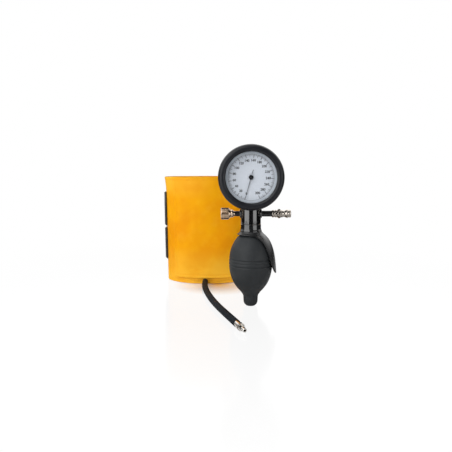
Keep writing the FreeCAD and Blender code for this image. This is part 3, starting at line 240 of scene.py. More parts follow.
blackLacquer = moulded("blackLacquer", {
    "colour": (0.0065, 0.0065, 0.007, 1), "lighter": (0.011, 0.011, 0.012, 1), "mottle": 0.004,
    "grainDepth": 0.000008, "rough": 0.24, "roughSwing": 0.12})
trimBlack = moulded("trimBlack", {
    "colour": (0.012, 0.0125, 0.014, 1), "lighter": (0.018, 0.019, 0.021, 1), "mottle": 0.006,
    "grain": 0.0004, "grainDepth": 0.00001, "rough": 0.36, "roughSwing": 0.14, "rubbedRough": 0.08})
chrome = turnedMetal("chrome", {
    "colour": (0.5, 0.455, 0.405, 1), "darker": (0.36, 0.325, 0.285, 1), "rough": 0.11})
# painted reflection: the knob's chrome is a lighter, warmer copy of the chrome beside it
knobChrome = turnedMetal("knobChrome", {
    "colour": (0.74, 0.6, 0.47, 1), "darker": (0.56, 0.44, 0.34, 1), "rough": 0.16})
plugChrome = turnedMetal("plugChrome", {
    "colour": (0.57, 0.55, 0.52, 1), "darker": (0.42, 0.4, 0.37, 1), "along": (1.0, 6.0, 1.0), "rough": 0.13})
fineLines = {"stain": 0.003, "line": 0.0004, "lineDepth": 0.000004, "roughSwing": 0.15}
brass = turnedMetal("brass", {
    **fineLines, "colour": (0.56, 0.4, 0.17, 1), "darker": (0.42, 0.28, 0.1, 1), "along": (1.0, 1.0, 1.0),
    "rough": 0.27, "stainRough": 0.12})
steel = turnedMetal("steel", {
    **fineLines, "colour": (0.5, 0.5, 0.51, 1), "darker": (0.4, 0.4, 0.41, 1), "along": (1.0, 1.0, 4.0),
    "rough": 0.25, "stainRough": 0.08})
caseAlloy = turnedMetal("caseAlloy", {
    "colour": (0.3, 0.31, 0.32, 1), "darker": (0.24, 0.245, 0.25, 1), "stain": 0.008, "along": (1.0, 5.0, 1.0),
    "line": 0.0006, "lineDepth": 0.000006, "rough": 0.36, "roughSwing": 0.16, "stainRough": 0.1})

cloth = {
    "colour": (0.92, 0.41, 0.001, 1), "wearAndHighlightColour": (0.97, 0.51, 0.035, 1), "shaded": (0.86, 0.32, 0.0005, 1),
    "thread": 0.00042, "weaveDepth": 0.00004, "weaveShade": 0.16, "weaveSmooth": 0.06,
    "patch": 0.035, "patches": (0.38, 0.66), "wornSize": 0.35, "worn": (0.5, 0.8), "wornShare": 0.3,
    "topHighlight": (0.112, 0.136), "footHighlight": (0.05, 0.026), "highlightPatches": (0.4, 0.6),
    "litSide": (-0.004, -0.044),  # painted highlight: the top band is palest on the left, towards the left lamp
    "rough": 0.58, "wornRough": 0.14, "sheen": 0.01, "sheenRough": 0.4, "bend": 1.45, "shine": 0.1,
}


def nylon(name, colour, wearAndHighlightColour, shaded):
    # plain weave that follows the piece's own map, in metres along and up
    look = cloth

    def draw(tree):
        along, up, _ = tree.parts(tree.add("ShaderNodeUVMap", {"uv_map": "cloth"}))
        warp, weft = ((way * (math.tau / look["thread"])).sine() for way in (along, up))
        weave = warp * weft * 0.5 + 0.5
        at = tree.own()
        patch = tree.cloud(at, look["patch"], 3.0)
        worn = tree.cloud(at, look["patch"] * look["wornSize"], 4.0)
        dyed = tree.mixed(patch.between(*look["patches"]), shaded, colour)
        free = tree.parts(at)[0].between(*look["litSide"])
        # painted highlight: bands along the top and the foot are paler, the top band only towards the left
        paintedHighlight = up.between(*look["topHighlight"]) * free + up.between(*look["footHighlight"])
        paintedHighlight = paintedHighlight * (0.5 + patch.between(*look["highlightPatches"]) * 0.5)
        # random worn spots are real wear; together with the painted highlight bands they pale the cloth
        spots = worn.between(*look["worn"]) * look["wornShare"]
        wearAndPaintedHighlight = tree.mixed(spots.maths("MAXIMUM", paintedHighlight), dyed, wearAndHighlightColour)
        woven = tree.mixed((1 - weave) * look["weaveShade"], wearAndPaintedHighlight, shaded)
        return surface(tree, weave, look["weaveDepth"], Base_Color=woven,
                       Roughness=look["rough"] + worn * look["wornRough"] - weave * look["weaveSmooth"],
                       Sheen_Weight=look["sheen"], Sheen_Roughness=look["sheenRough"],
                       IOR=look["bend"], Specular_IOR_Level=look["shine"])
    return finish(name, draw)


cuffNylon = nylon("cuffNylon", cloth["colour"], cloth["wearAndHighlightColour"], cloth["shaded"])
liningNylon = nylon("liningNylon", (0.8, 0.3, 0.006, 1), (0.85, 0.36, 0.02, 1), (0.66, 0.22, 0.003, 1))

pile = {"loop": 0.0007, "loopDepth": 0.0004, "loops": (0.3, 0.7), "nap": 0.012, "naps": (0.2, 0.9),
        "rough": 0.82, "roughSwing": 0.12, "sheen": 0.4, "sheenRough": 0.5}


def brushedPile(name, colour, darker):
    def draw(tree):
        at = tree.own()
        loops = tree.cloud(at, pile["loop"], 4.0, 0.75)
        raised = loops.between(*pile["loops"]) * tree.cloud(at, pile["nap"], 3.0).between(*pile["naps"])
        return surface(tree, loops, pile["loopDepth"], Base_Color=tree.mixed(raised, darker, colour),
                       Roughness=pile["rough"] + loops * pile["roughSwing"],
                       Sheen_Weight=pile["sheen"], Sheen_Roughness=pile["sheenRough"])
    return finish(name, draw)


loopPile = brushedPile("loopPile", (0.84, 0.36, 0.015, 1), (0.6, 0.2, 0.004, 1))
hookTape = brushedPile("hookTape", (0.014, 0.014, 0.016, 1), (0.005, 0.005, 0.006, 1))


def evenCoat(name, look):
    # one fine cloud varies the colour, height and roughness a little
    def draw(tree):
        tone = tree.cloud(tree.own(), look["size"], look["detail"])
        return surface(tree, tone, look["depth"], Base_Color=tree.mixed(tone, look["colour"], look["lighter"]),
                       Roughness=look["rough"] + tone * look["roughSwing"], Specular_IOR_Level=look["shine"])
    return finish(name, draw)


thread = evenCoat("thread", {
    "colour": (0.82, 0.32, 0.001, 1), "lighter": (0.9, 0.4, 0.004, 1), "size": 0.0003, "detail": 2.0,
    "depth": 0.00005, "rough": 0.6, "roughSwing": 0.15, "shine": 0.15})
spacerGrey = evenCoat("spacerGrey", {
    "colour": (0.36, 0.4, 0.42, 1), "lighter": (0.46, 0.5, 0.52, 1), "size": 0.006, "detail": 2.0,
    "depth": 0.00001, "rough": 0.42, "roughSwing": 0.1, "shine": 0.5})
ink = evenCoat("ink", {
    "colour": (0.003, 0.003, 0.004, 1), "lighter": (0.009, 0.009, 0.011, 1), "size": 0.0006, "detail": 3.0,
    "depth": 0.000003, "rough": 0.5, "roughSwing": 0.1, "shine": 0.15})

dialGround = {
    "colour": (0.675, 0.725, 0.8, 1), "lighter": (0.725, 0.77, 0.845, 1), "tone": 0.02, "paper": 0.0005,
    "paperDepth": 0.000004, "rim": (0.0255, 0.028), "rimShadeColour": (0.4, 0.44, 0.48, 1), "rimShadeShare": 0.5,
    "rough": 0.5, "roughSwing": 0.1,
}


def dialLook(tree):
    # printed ground, with painted shade greying it towards its rim, under the ring's lip
    look = dialGround
    at = tree.own()
    x, _, z = tree.parts(at)
    across, above = x - gaugeAxis.x, z - gaugeAxis.z
    out = (across * across + above * above) ** 0.5
    paper = tree.cloud(at, look["paper"], 2.0)
    ground = tree.mixed(tree.cloud(at, look["tone"], 2.0), look["colour"], look["lighter"])
    # painted shade: the band by the rim, which the ring's lip overhangs, is mixed towards grey
    rimShaded = tree.mixed(out.between(*look["rim"]) * look["rimShadeShare"], ground, look["rimShadeColour"])
    return surface(tree, paper, look["paperDepth"], Base_Color=rimShaded,
                   Roughness=look["rough"] + paper * look["roughSwing"])


dialWhite = finish("dialWhite", dialLook)

window = {"tint": (0.1, 0.11, 0.12, 1), "haze": 0.01, "rough": 0.02, "hazeRough": 0.03, "shown": 0.04,
          "hazeShown": 0.02, "bend": 1.49}


def lensLook(tree):
    haze = tree.cloud(tree.own(), window["haze"], 3.0)
    return surface(tree, Base_Color=window["tint"], Roughness=window["rough"] + haze * window["hazeRough"],
                   Alpha=window["shown"] + haze * window["hazeShown"], IOR=window["bend"])


clearLens = finish("clearLens", lensLook)
print("materials made")


# shapes: points and faces made into pieces that ride on a body of the frame

def linked(name, data):
    item = bpy.data.objects.new(name, data)
    bpy.context.scene.collection.objects.link(item)
    return item


def asBuilt(piece):  # with its modifiers worked out
    return piece.evaluated_get(bpy.context.evaluated_depsgraph_get())


def applied(piece, modifier):
    mesh = bpy.data.meshes.new_from_object(asBuilt(piece))
    piece.modifiers.remove(modifier)
    piece.data = mesh
    return mesh


def newPiece(name, points, faces, material, body, spots=()):
    # spots are the points' places on flat cloth, for the map that the weave follows
    mesh = bpy.data.meshes.new(name)
    mesh.from_pydata([tuple(point) for point in points], [], faces)
    if spots:
        flat = mesh.uv_layers.new(name="cloth")
        for loop in mesh.loops:
            flat.data[loop.index].uv = spots[loop.vertex_index]
    mesh.validate()
    shell = bmesh.new()
    shell.from_mesh(mesh)
    bmesh.ops.remove_doubles(shell, verts=shell.verts, dist=1e-7)
    bmesh.ops.recalc_face_normals(shell, faces=shell.faces)
    shell.to_mesh(mesh)
    shell.free()
    mesh.shade_smooth()
    mesh.materials.append(material)
    piece = linked(name, mesh)
    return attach(piece, body)


def eased(corners, steps=4, most=0.48):
    # corners are (radius, along) or (radius, along, setback): a corner with a setback is rounded off,
    # over no more than that share of its two sides
    made = []
    for number, corner in enumerate(corners):
        here = Vector(corner[:2])
        setback = corner[2] if len(corner) > 2 else 0.0
        if not setback:
            made.append(tuple(here))
            continue
        before = Vector(corners[number - 1][:2]) - here
        after = Vector(corners[(number + 1) % len(corners)][:2]) - here
        start = here + before.normalized() * min(setback, before.length * most)
        end = here + after.normalized() * min(setback, after.length * most)
        for step in range(steps + 1):
            share = step / steps
            made.append(tuple(start * (1 - share) ** 2 + here * 2 * share * (1 - share) + end * share ** 2))
    return made


def flowing(stations, steps):
    # a smooth line through the stations, evenly divided between them
    made = []
    last = len(stations) - 1
    for number in range(last):
        around = [Vector(stations[min(max(number + shift, 0), last)]) for shift in (-1, 0, 1, 2)]
        for step in range(steps):
            s = step / steps
            made.append(tuple(0.5 * (2 * around[1] + (around[2] - around[0]) * s
                                     + (2 * around[0] - 5 * around[1] + 4 * around[2] - around[3]) * s * s
                                     + (3 * around[1] - around[0] - 3 * around[2] + around[3]) * s ** 3)))
    made.append(tuple(stations[-1]))
    return made


def aroundAxis(profile, angle, place):
    return [place @ Vector((r * math.cos(angle), r * math.sin(angle), along)) for r, along in profile]


def closedFaces(count, steps):
    # from each profile of count points to the next, all the way round
    faces = []
    for turn in range(steps):
        here, other = turn * count, (turn + 1) % steps * count
        for number in range(count):
            following = (number + 1) % count
            faces.append((here + number, other + number, other + following, here + following))
    return faces


def turned(name, profile, place, material, body, steps=128):
    # a closed profile of (radius, along) turned about its own +Z
    points = []
    for turn in range(steps):
        points += aroundAxis(profile, math.tau * turn / steps, place)
    return newPiece(name, points, closedFaces(len(profile), steps), material, body)


def growth(name, counts, lengths, draw):
    # a Geometry Nodes tree that ends in plain mesh with its finish on it
    group = bpy.data.node_groups.new(name, "GeometryNodeTree")
    numbers = [(label, "Int") for label in counts] + [(label, "Float") for label in lengths]
    for label, kind in [("Geometry", "Geometry")] + numbers + [("Finish", "Material")]:
        group.interface.new_socket(label, in_out="INPUT", socket_type="NodeSocket" + kind)
    group.interface.new_socket("Geometry", in_out="OUTPUT", socket_type="NodeSocketGeometry")
    tree = Tree(group)
    start = tree.add("NodeGroupInput").socket.node
    given = {socket.name: Wire(tree, socket) for socket in start.outputs if socket.name}
    whole = tree.add("GeometryNodeRealizeInstances", {}, {"Geometry": draw(tree, given)})
    done = tree.add("GeometryNodeSetMaterial", {}, {"Geometry": whole, "Material": given["Finish"]})
    tree.add("NodeGroupOutput", {}, {0: done})
    return group


def grown(name, group, values, place, body, host=((0, 0, 0),), edges=(), faces=()):
    base = bpy.data.meshes.new(name + "Host")
    base.from_pydata([tuple(point) for point in host], list(edges), list(faces))
    piece = linked(name, base)
    modifier = piece.modifiers.new(name, "NODES")
    modifier.node_group = group
    for item in group.interface.items_tree:
        if item.in_out == "INPUT" and item.name in values:
            modifier[item.identifier] = values[item.name]
    mesh = applied(piece, modifier)
    mesh.name = name
    mesh.transform(place)
    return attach(piece, body)


def ribTree(tree, given):
    # straight grip ribs with a sharp crest, side by side around +Z
    rib = tree.add("GeometryNodeMeshCylinder", {"fill_type": "NGON"}, {
        "Vertices": 3, "Radius": given["Height"], "Depth": given["Length"]})
    reach = tree.vector(given["Radius"] - given["Height"], 0.0, given["Start"] + given["Length"] * 0.5)
    moved = tree.add("GeometryNodeTransform", {}, {"Geometry": rib, "Translation": reach})
    turn = tree.vector(z=tree.add("GeometryNodeInputIndex") * math.tau / given["Count"])
    return tree.repeated(tree.heap(given["Count"]), moved, Rotation=turn)


gripRibs = growth("gripRibs", ["Count"], ["Radius", "Height", "Start", "Length"], ribTree)
fifthWider, tenthWider = 0.9, 1.5  # than a plain mark, as shares of its width


def tickTree(tree, given):
    # the scale's marks, clockwise from the dial's foot: every fifth is longer, every tenth the longest
    number = tree.add("GeometryNodeInputIndex")
    tenth = number.maths("MODULO", 10.0).maths("LESS_THAN", 0.5)
    fifth = number.maths("MODULO", 5.0).maths("LESS_THAN", 0.5) - tenth
    short = given["Short"]
    length = short + fifth * (given["Middle"] - short) + tenth * (given["Long"] - short)
    width = given["Width"] * (1 + fifth * fifthWider + tenth * tenthWider)
    angle = given["Zero"] + number * given["Sweep"] / (given["Count"] - 1)
    out = given["Radius"] - length * 0.5
    spot = tree.vector(angle.sine() * out * -1, angle.maths("COSINE") * out * -1, given["Thickness"] * 0.5)
    spots = tree.add("GeometryNodeSetPosition", {}, {"Geometry": tree.heap(given["Count"]), "Position": spot})
    mark = tree.add("GeometryNodeMeshCube", {}, {"Size": (1, 1, 1)})
    return tree.repeated(spots, mark, Rotation=tree.vector(z=math.pi - angle),
                         Scale=tree.vector(width, length, given["Thickness"]))


dialTicks = growth("dialTicks", ["Count"], [
    "Radius", "Short", "Middle", "Long", "Width", "Thickness", "Zero", "Sweep"], tickTree)

beadLong = 0.36  # half a bead of thread, as a share of the pitch


def stitchTree(tree, given):
    # one bead of thread after another along the seam lines of the host mesh
    seam = tree.add("GeometryNodeMeshToCurve", {}, {"Mesh": given["Geometry"]})
    spots = tree.add("GeometryNodeResampleCurve", {"mode": "LENGTH"}, {"Curve": seam, "Length": given["Pitch"]})
    bead = tree.add("GeometryNodeMeshUVSphere", {}, {"Segments": 6, "Rings": 4, "Radius": 1.0})
    along = tree.add("FunctionNodeAlignRotationToVector", {"axis": "Z"}, {
        "Vector": tree.add("GeometryNodeInputTangent")})
    scale = tree.vector(given["Thick"], given["Thick"], given["Pitch"] * beadLong)
    return tree.repeated(spots, bead, Rotation=along, Scale=scale)


stitchRow = growth("stitchRow", [], ["Pitch", "Thick"], stitchTree)
hookRoot = 0.55  # a hook's foot, as a share of its head


def hookTree(tree, given):
    # short stiff hooks that stand on the host's points, square to its faces
    stem = tree.add("GeometryNodeMeshCone", {}, {
        "Vertices": 5, "Radius Top": given["Thick"], "Radius Bottom": given["Thick"] * hookRoot,
        "Depth": given["Tall"]})
    facing = tree.add("FunctionNodeAlignRotationToVector", {"axis": "Z"}, {
        "Vector": tree.add("GeometryNodeInputNormal")})
    return tree.repeated(given["Geometry"], stem, Rotation=facing)


hookField = growth("hookField", [], ["Thick", "Tall"], hookTree)
print("growths made")


# the hand unit: rubber bulb

bulbShape = {
    "outside": [(0.0051, 0.0004), (0.0069, 0.0022), (0.0079, 0.0048), (0.00815, 0.0085), (0.0086, 0.0122),
                (0.0112, 0.0161), (0.0152, 0.0206), (0.0193, 0.0266), (0.0223, 0.0341), (0.0239, 0.0417),
                (0.0243, 0.0490), (0.02375, 0.0568), (0.0221, 0.0644), (0.0189, 0.0719), (0.0149, 0.0777)],
    "sleeve": [(0.01255, 0.0794), (0.0117, 0.08), (0.0066, 0.08), (0.0066, 0.0643), (0.0088, 0.0643),
               (0.0088, 0.0755)],
    "foot": [(0.0041, 0.0170), (0.0041, 0.0031), (0.0015, 0.0031), (0.0015, 0.0001), (0.0040, 0.0)],
    "wall": 0.0024, "hollow": (0.018, 0.0745), "narrowest": 0.0042,
    "grooves": (0.0534, 0.0500, 0.0464), "grooveDepth": (0.0008, 0.0004, 0.0008), "grooveWidth": 0.0007,
}


def makeBulb():
    look = bulbShape
    outside = []
    for radius, height in flowing(look["outside"], 22):
        cut = sum(depth * math.exp(-((height - at) / look["grooveWidth"]) ** 2 * 2)
                  for at, depth in zip(look["grooves"], look["grooveDepth"]))
        outside.append((radius - cut, height))
    low, high = look["hollow"]
    inside = [(max(radius - look["wall"], look["narrowest"]), height)
              for radius, height in reversed(flowing(look["outside"], 3)) if low < height < high]
    bulb = turned("rubberBulb", outside + look["sleeve"] + inside + look["foot"], upright, bulbRubber,
                  "hand_unit", 160)
    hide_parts("bulb")


makeBulb()


# rubber ring around the gauge

ringShape = {
    "radius": 0.03675, "depth": 0.026, "opening": 0.0284, "lip": 0.003, "bore": 0.03103, "seam": 0.0006,
    "neckHole": [(0.0001, -0.05), (0.0117, -0.05), (0.0117, -0.02), (0.0001, -0.02)],
}


def makeRing():
    look = ringShape
    r, d, o, lip, seamAt = look["radius"], look["depth"], look["opening"], look["lip"], look["depth"] * 0.5
    profile = eased([
        (o, lip), (o, lip * 0.55, 0.0006), (o + 0.0021, 0.0001, 0.0014), (r - 0.0028, 0.00025, 0.0016),
        (r - 0.0003, 0.0031, 0.0022), (r, 0.0075, 0.002), (r, seamAt - look["seam"], 0.0002),
        (r - 0.00035, seamAt, 0.0003), (r, seamAt + look["seam"], 0.0002), (r, d - 0.0075, 0.002),
        (r - 0.0004, d - 0.0030, 0.0022), (r - 0.0034, d, 0.002), (look["bore"], d), (look["bore"], lip)], 5)
    ring = turned("shockRing", profile, gaugePlace, softRubber, "hand_unit", 192)
    tool = turned("neckTool", look["neckHole"], Matrix.Translation((unitAxis.x, unitAxis.y, gaugeAxis.z)),
                  softRubber, "hand_unit", 96)
    opening = ring.modifiers.new("neckHole", "BOOLEAN")
    opening.operation, opening.solver, opening.object = "DIFFERENCE", "EXACT", tool
    mesh = applied(ring, opening)
    bpy.data.objects.remove(tool)
    mesh.shade_smooth()
    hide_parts("shock_ring")


makeRing()


# glossy neck block and hand guard

neckShape = {
    "outline": [(0.005, 0.09252), (0.01145, 0.09252, 0.0002), (0.01125, 0.1085, 0.001),
                (0.01125, 0.1145, 0.0006), (0.002, 0.1145), (0.002, 0.0984), (0.005, 0.0984)],
    "boss": [(0.0034, 0.0100), (0.0052, 0.0100), (0.0049, 0.0124, 0.0005), (0.0034, 0.0124, 0.0003)],
}


def makeNeck():
    look = neckShape
    neck = turned("neckBlock", eased(look["outline"], 5), upright, glossPlastic, "hand_unit", 144)
    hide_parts("neck_manifold")
    # small raised bosses around the valve's stem and the connector's arm
    for name, place in (("valveBoss", valvePlace), ("armBoss", connectorPlace)):
        boss = turned(name, eased(look["boss"]), place, glossPlastic, "hand_unit", 64)


makeNeck()

guardShape = {
    "wall": 0.0019, "shoulder": 0.0836, "roof": 0.0825, "innerTop": 0.0820, "inside": 0.0106, "bore": 0.00708,
    "rows": 34, "crowding": 0.9,
    "collar": [(0.00708, 0.09228), (0.01145, 0.09228, 0.0002), (0.01158, 0.0872, 0.001),
               (0.0126, 0.0842, 0.0012)],
    # (height, radius) of its outer face, and (degrees around, height) of its lower edge
    "outside": [(0.0839, 0.0126), (0.0822, 0.0139), (0.0800, 0.0164), (0.0770, 0.0193), (0.0720, 0.0225),
                (0.0660, 0.0249), (0.0600, 0.0265), (0.0540, 0.0275), (0.0470, 0.0283), (0.0430, 0.0286),
                (0.0372, 0.0290), (0.0340, 0.0292)],
    "edge": [(0, 0.0373), (9, 0.0376), (17, 0.0390), (24, 0.0418), (30, 0.0455), (35, 0.0500), (40, 0.0570),
             (46, 0.0660), (53, 0.0728), (62, 0.0770), (76, 0.0795), (96, 0.0804), (120, 0.0806),
             (180, 0.0806)],
}


def along(stations, at):  # straight between named stations
    for (a, left), (b, right) in zip(stations, stations[1:]):
        if at <= b:
            return left + (right - left) * (at - a) / (b - a)
    return stations[-1][1]


def makeGuard():
    look = guardShape
    rows, half = look["rows"], look["wall"] / 2
    outside = sorted(flowing(look["outside"], 8))
    edge = flowing(look["edge"], 6)
    # closer together where the guard hangs low
    angles = [step * 1.5 for step in range(41)] + [60 + step * 5 for step in range(1, 25)]
    angles += [360 - angle for angle in reversed(angles[1:-1])]
    points = []
    for angle in angles:
        low = along(edge, min(angle, 360 - angle))
        section = eased(look["collar"])[1:]
        for row in range(rows):  # down the outside, around the lower edge and up the inside
            height = look["shoulder"] + (low + half - look["shoulder"]) * (row / (rows - 1)) ** look["crowding"]
            section.append((along(outside, height), height))
        rim = along(outside, low) - half
        for step in range(1, 6):
            turn = math.pi * step / 6
            section.append((rim + half * math.cos(turn), low + half * (1 - math.sin(turn))))
        for row in range(rows):
            height = low + half + (look["innerTop"] - low - half) * row / (rows - 1)
            section.append((max(along(outside, height) - look["wall"], look["inside"]), height))
        section += [(look["inside"], look["roof"]), (look["bore"], look["roof"])]
        points += aroundAxis(section, math.radians(angle), upright)
    faces = closedFaces(len(points) // len(angles), len(angles))
    guard = newPiece("handGuard", points, faces, guardPlastic, "guard")
    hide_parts("hand_guard")


makeGuard()


# release valve knob, the connector's lock ring, body and socket: turned bodies, the knob and lock ring with grip
# ribs

knobShape = {
    "outline": [
        (0.00196, 0.01775), (0.0029, 0.01775, 0.0003), (0.0031, 0.0192, 0.0004), (0.0044, 0.0203, 0.0003),
        (0.0045, 0.0214, 0.0003), (0.00385, 0.0219, 0.0003), (0.0041, 0.0226, 0.0004), (0.0053, 0.0236, 0.0004),
        (0.0054, 0.02415, 0.0002), (0.00615, 0.02445, 0.0002), (0.0063, 0.02495, 0.0002),
        (0.0063, 0.03285, 0.0002), (0.00615, 0.03345, 0.0002), (0.00535, 0.03365, 0.0003),
        (0.0040, 0.03365, 0.0002), (0.0037, 0.03325, 0.0002), (0.0007, 0.03325),
        (0.0007, 0.0300), (0.0012, 0.0298), (0.0012, 0.0233), (0.00196, 0.0231)],
    "ribs": {"Count": 58, "Radius": 0.00665, "Height": 0.00046, "Start": 0.02485, "Length": 0.0082},
}


def makeKnob():
    look = knobShape
    knob = turned("valveKnob", eased(look["outline"], 3), valvePlace, knobChrome, "valve_knob", 96)
    ribs = grown("knobRibs", gripRibs, {**look["ribs"], "Finish": knobChrome}, valvePlace, "valve_knob")
    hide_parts("valve_knob")


makeKnob()

lockRingShape = {
    "outline": [(0.00366, 0.03025), (0.0046, 0.03025, 0.0002), (0.0049, 0.03065, 0.0002),
                (0.0049, 0.03305, 0.0002), (0.0046, 0.03345, 0.0002), (0.00366, 0.03345)],
    "ribs": {"Count": 40, "Radius": 0.0052, "Height": 0.00042, "Start": 0.03075, "Length": 0.0022},
}


def makeLockRing():
    look = lockRingShape
    ring = turned("lockRing", eased(look["outline"], 3), connectorPlace, chrome, "lock_ring", 96)
    ribs = grown("lockRingRibs", gripRibs, {**look["ribs"], "Finish": chrome}, connectorPlace, "lock_ring")
    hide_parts("connector_lock_ring")


makeLockRing()

connectorShape = {
    "body": [
        (0.0024, 0.0237), (0.0038, 0.0237, 0.0003), (0.00425, 0.0243, 0.0003), (0.00425, 0.0261, 0.0002),
        (0.0038, 0.0264, 0.0002), (0.0038, 0.0270, 0.0002), (0.00425, 0.0273, 0.0002), (0.00425, 0.0298, 0.0003),
        (0.0040, 0.0302, 0.0002), (0.0036, 0.0302), (0.0036, 0.0370), (0.0015, 0.0370), (0.0015, 0.0280),
        (0.0024, 0.0280)],
    "socket": [
        (0.0036, 0.0335), (0.0041, 0.0335, 0.0002), (0.00435, 0.0339, 0.0003), (0.0042, 0.0355, 0.0006),
        (0.00375, 0.0366, 0.0006), (0.00375, 0.0382, 0.0006), (0.0043, 0.0391, 0.0005),
        (0.00485, 0.0401, 0.0004), (0.00485, 0.0414, 0.0004), (0.0044, 0.0421, 0.0004),
        (0.0042, 0.0436, 0.0004), (0.00455, 0.04425, 0.0003), (0.0042, 0.04495, 0.0003),
        (0.0027, 0.04495, 0.0003), (0.00212, 0.0443, 0.0003), (0.00212, 0.0380),
        (0.0036, 0.0380)],
}


def makeSocket():
    body, socket = (
        turned(name, eased(connectorShape[key], 3), connectorPlace, chrome, "hand_unit", 96)
        for name, key in (("connectorBody", "body"), ("connectorSocket", "socket")))
    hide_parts("connector_body")
    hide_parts("connector_socket")


makeSocket()
print("hand unit made")


# dial: scale, numbers

dialShape = {
    "zero": 15.5, "perUnit": 322 / 300, "most": 300, "every": 2, "numberEvery": 20, "numberRadius": 0.0189,
    "numberSize": 0.0037, "numberBold": 0.00011, "tickRadius": 0.0256, "short": 0.0016, "middle": 0.0027,
    "long": 0.0038, "width": 0.0002, "ink": 0.00003,
}
dialPlace = Matrix.Translation((gaugeAxis.x, dialFront, gaugeAxis.z)) @ toViewer


def makeDial():
    look = dialShape
    sweep = math.radians(look["most"] * look["perUnit"])
    ticks = grown("dialTicks", dialTicks, {
        "Count": look["most"] // look["every"] + 1, "Radius": look["tickRadius"], "Short": look["short"],
        "Middle": look["middle"], "Long": look["long"], "Width": look["width"], "Thickness": look["ink"],
        "Zero": math.radians(look["zero"]), "Sweep": sweep, "Finish": ink}, dialPlace, "hand_unit")
    near, far = look["tickRadius"], look["tickRadius"] + look["width"]
    scaleLine = turned("scaleLine", [(near, 0), (far, 0), (far, look["ink"]), (near, look["ink"])],
                       dialPlace, ink, "hand_unit", 160)
    scaleLine.data.shade_flat()
    numbers = bmesh.new()
    for value in range(0, look["most"] + 1, look["numberEvery"]):
        text = bpy.data.curves.new("number", "FONT")
        text.body, text.size = str(value), look["numberSize"]
        text.align_x, text.align_y = "CENTER", "CENTER"
        text.extrude, text.offset, text.resolution_u = look["ink"] / 2, look["numberBold"], 3
        carrier = linked("number", text)
        bpy.context.view_layer.update()
        mesh = bpy.data.meshes.new_from_object(asBuilt(carrier))
        angle = math.radians(look["zero"] + value * look["perUnit"])
        out = Vector((-math.sin(angle), -math.cos(angle), 0)) * look["numberRadius"]
        mesh.transform(dialPlace @ Matrix.Translation((out.x, out.y, look["ink"] / 2)))
        numbers.from_mesh(mesh)
        bpy.data.objects.remove(carrier)
        bpy.data.meshes.remove(mesh)
    mesh = bpy.data.meshes.new("dialNumbers")
    numbers.to_mesh(mesh)
    numbers.free()
    mesh.materials.clear()
    mesh.materials.append(ink)
    piece = linked("dialNumbers", mesh)
    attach(piece, "hand_unit")


makeDial()

needleShape = {
    "rest": 15.5, "thick": 0.0003,
    "outline": [(-0.00013, 0.0252), (0, 0.0256), (0.00013, 0.0252), (0.000375, 0.0012), (0.00025, -0.0022),
                (0.00025, -0.0086), (0, -0.0088), (-0.00025, -0.0086), (-0.00025, -0.0022), (-0.000375, 0.0012)],
}


def makeNeedle():
    # a slim flat needle with a thin tail, turned to its rest
    look = needleShape
    low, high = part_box("pointer")
    outline = look["outline"]
    place = (Matrix.Translation((gaugeAxis.x, (low.y + high.y) / 2, gaugeAxis.z)) @ toViewer
             @ Matrix.Rotation(math.pi - math.radians(look["rest"]), 4, "Z"))
    count = len(outline)
    points = [place @ Vector((x, y, side * look["thick"] / 2)) for side in (-1, 1) for x, y in outline]
    faces = [tuple(reversed(range(count))), tuple(range(count, 2 * count))]
    faces += [(number, (number + 1) % count, count + (number + 1) % count, count + number)
              for number in range(count)]
    needle = newPiece("needle", points, faces, ink, "pointer")
    needle.data.shade_flat()
    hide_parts("pointer")


makeNeedle()
print("dial made")


# arm cuff: one oval path that all its layers follow, seen from above against the clock from its rear

cuffPath = {"endRadius": 0.030, "endPlace": 0.0275, "longRadius": 0.07781, "longPlace": 0.03911,
            "endHalf": 54.9, "height": 0.143, "lean": 0.003, "leanFrom": 0.015, "leanOver": 0.03,
            "flare": 0.0022, "flareFrom": 0.120}
endHalf = math.radians(cuffPath["endHalf"])
longHalf = math.pi / 2 - endHalf
longRun = longHalf * cuffPath["longRadius"]
endRun = 2 * endHalf * cuffPath["endRadius"]
wholeRun = 4 * longRun + 2 * endRun


def aroundCuff(distance, offset, height):
    look = cuffPath
    rest = distance % wholeRun
    runs = ((longRun, look["longRadius"], (0, -look["longPlace"]), math.pi / 2),
            (endRun, look["endRadius"], (-look["endPlace"], 0), math.pi - endHalf),
            (2 * longRun, look["longRadius"], (0, look["longPlace"]), math.pi + endHalf),
            (endRun, look["endRadius"], (look["endPlace"], 0), -endHalf),
            (longRun + 1e-6, look["longRadius"], (0, -look["longPlace"]), endHalf))
    for length, radius, centre, start in runs:
        if rest <= length:
            break
        rest -= length
    angle = start + rest / radius
    x = centre[0] + (radius + offset) * math.cos(angle)
    y = centre[1] + (radius + offset) * math.sin(angle)
    left = min(max((-x - look["leanFrom"]) / look["leanOver"], 0.0), 1.0)
    flared = max(0.0, (height - look["flareFrom"]) / (look["height"] - look["flareFrom"]))
    shift = look["lean"] * (1 - height / look["height"]) - look["flare"] * flared ** 2
    return Vector((cuffMiddle.x + x + shift * left, cuffMiddle.y + y, height))


fineStops = {"seam": (-0.0012, -0.0004, 0.0004, 0.0012), "edge": 0.35, "apart": 0.4}


def stops(start, end, step, seams=(), edge=0.0):
    # even divisions, closer beside each seam and edge
    count = max(2, round((end - start) / step))
    fine = [start, end] + [seam + shift for seam in seams for shift in fineStops["seam"]]
    if edge:
        part = edge * fineStops["edge"]
        fine += [start + part, start + edge, end - edge, end - part]
    fine = [at for at in fine if start <= at <= end]
    even = [start + (end - start) * number / count for number in range(1, count)]
    apart = step * fineStops["apart"]
    return sorted(fine + [at for at in even if min(abs(at - other) for other in fine) > apart])


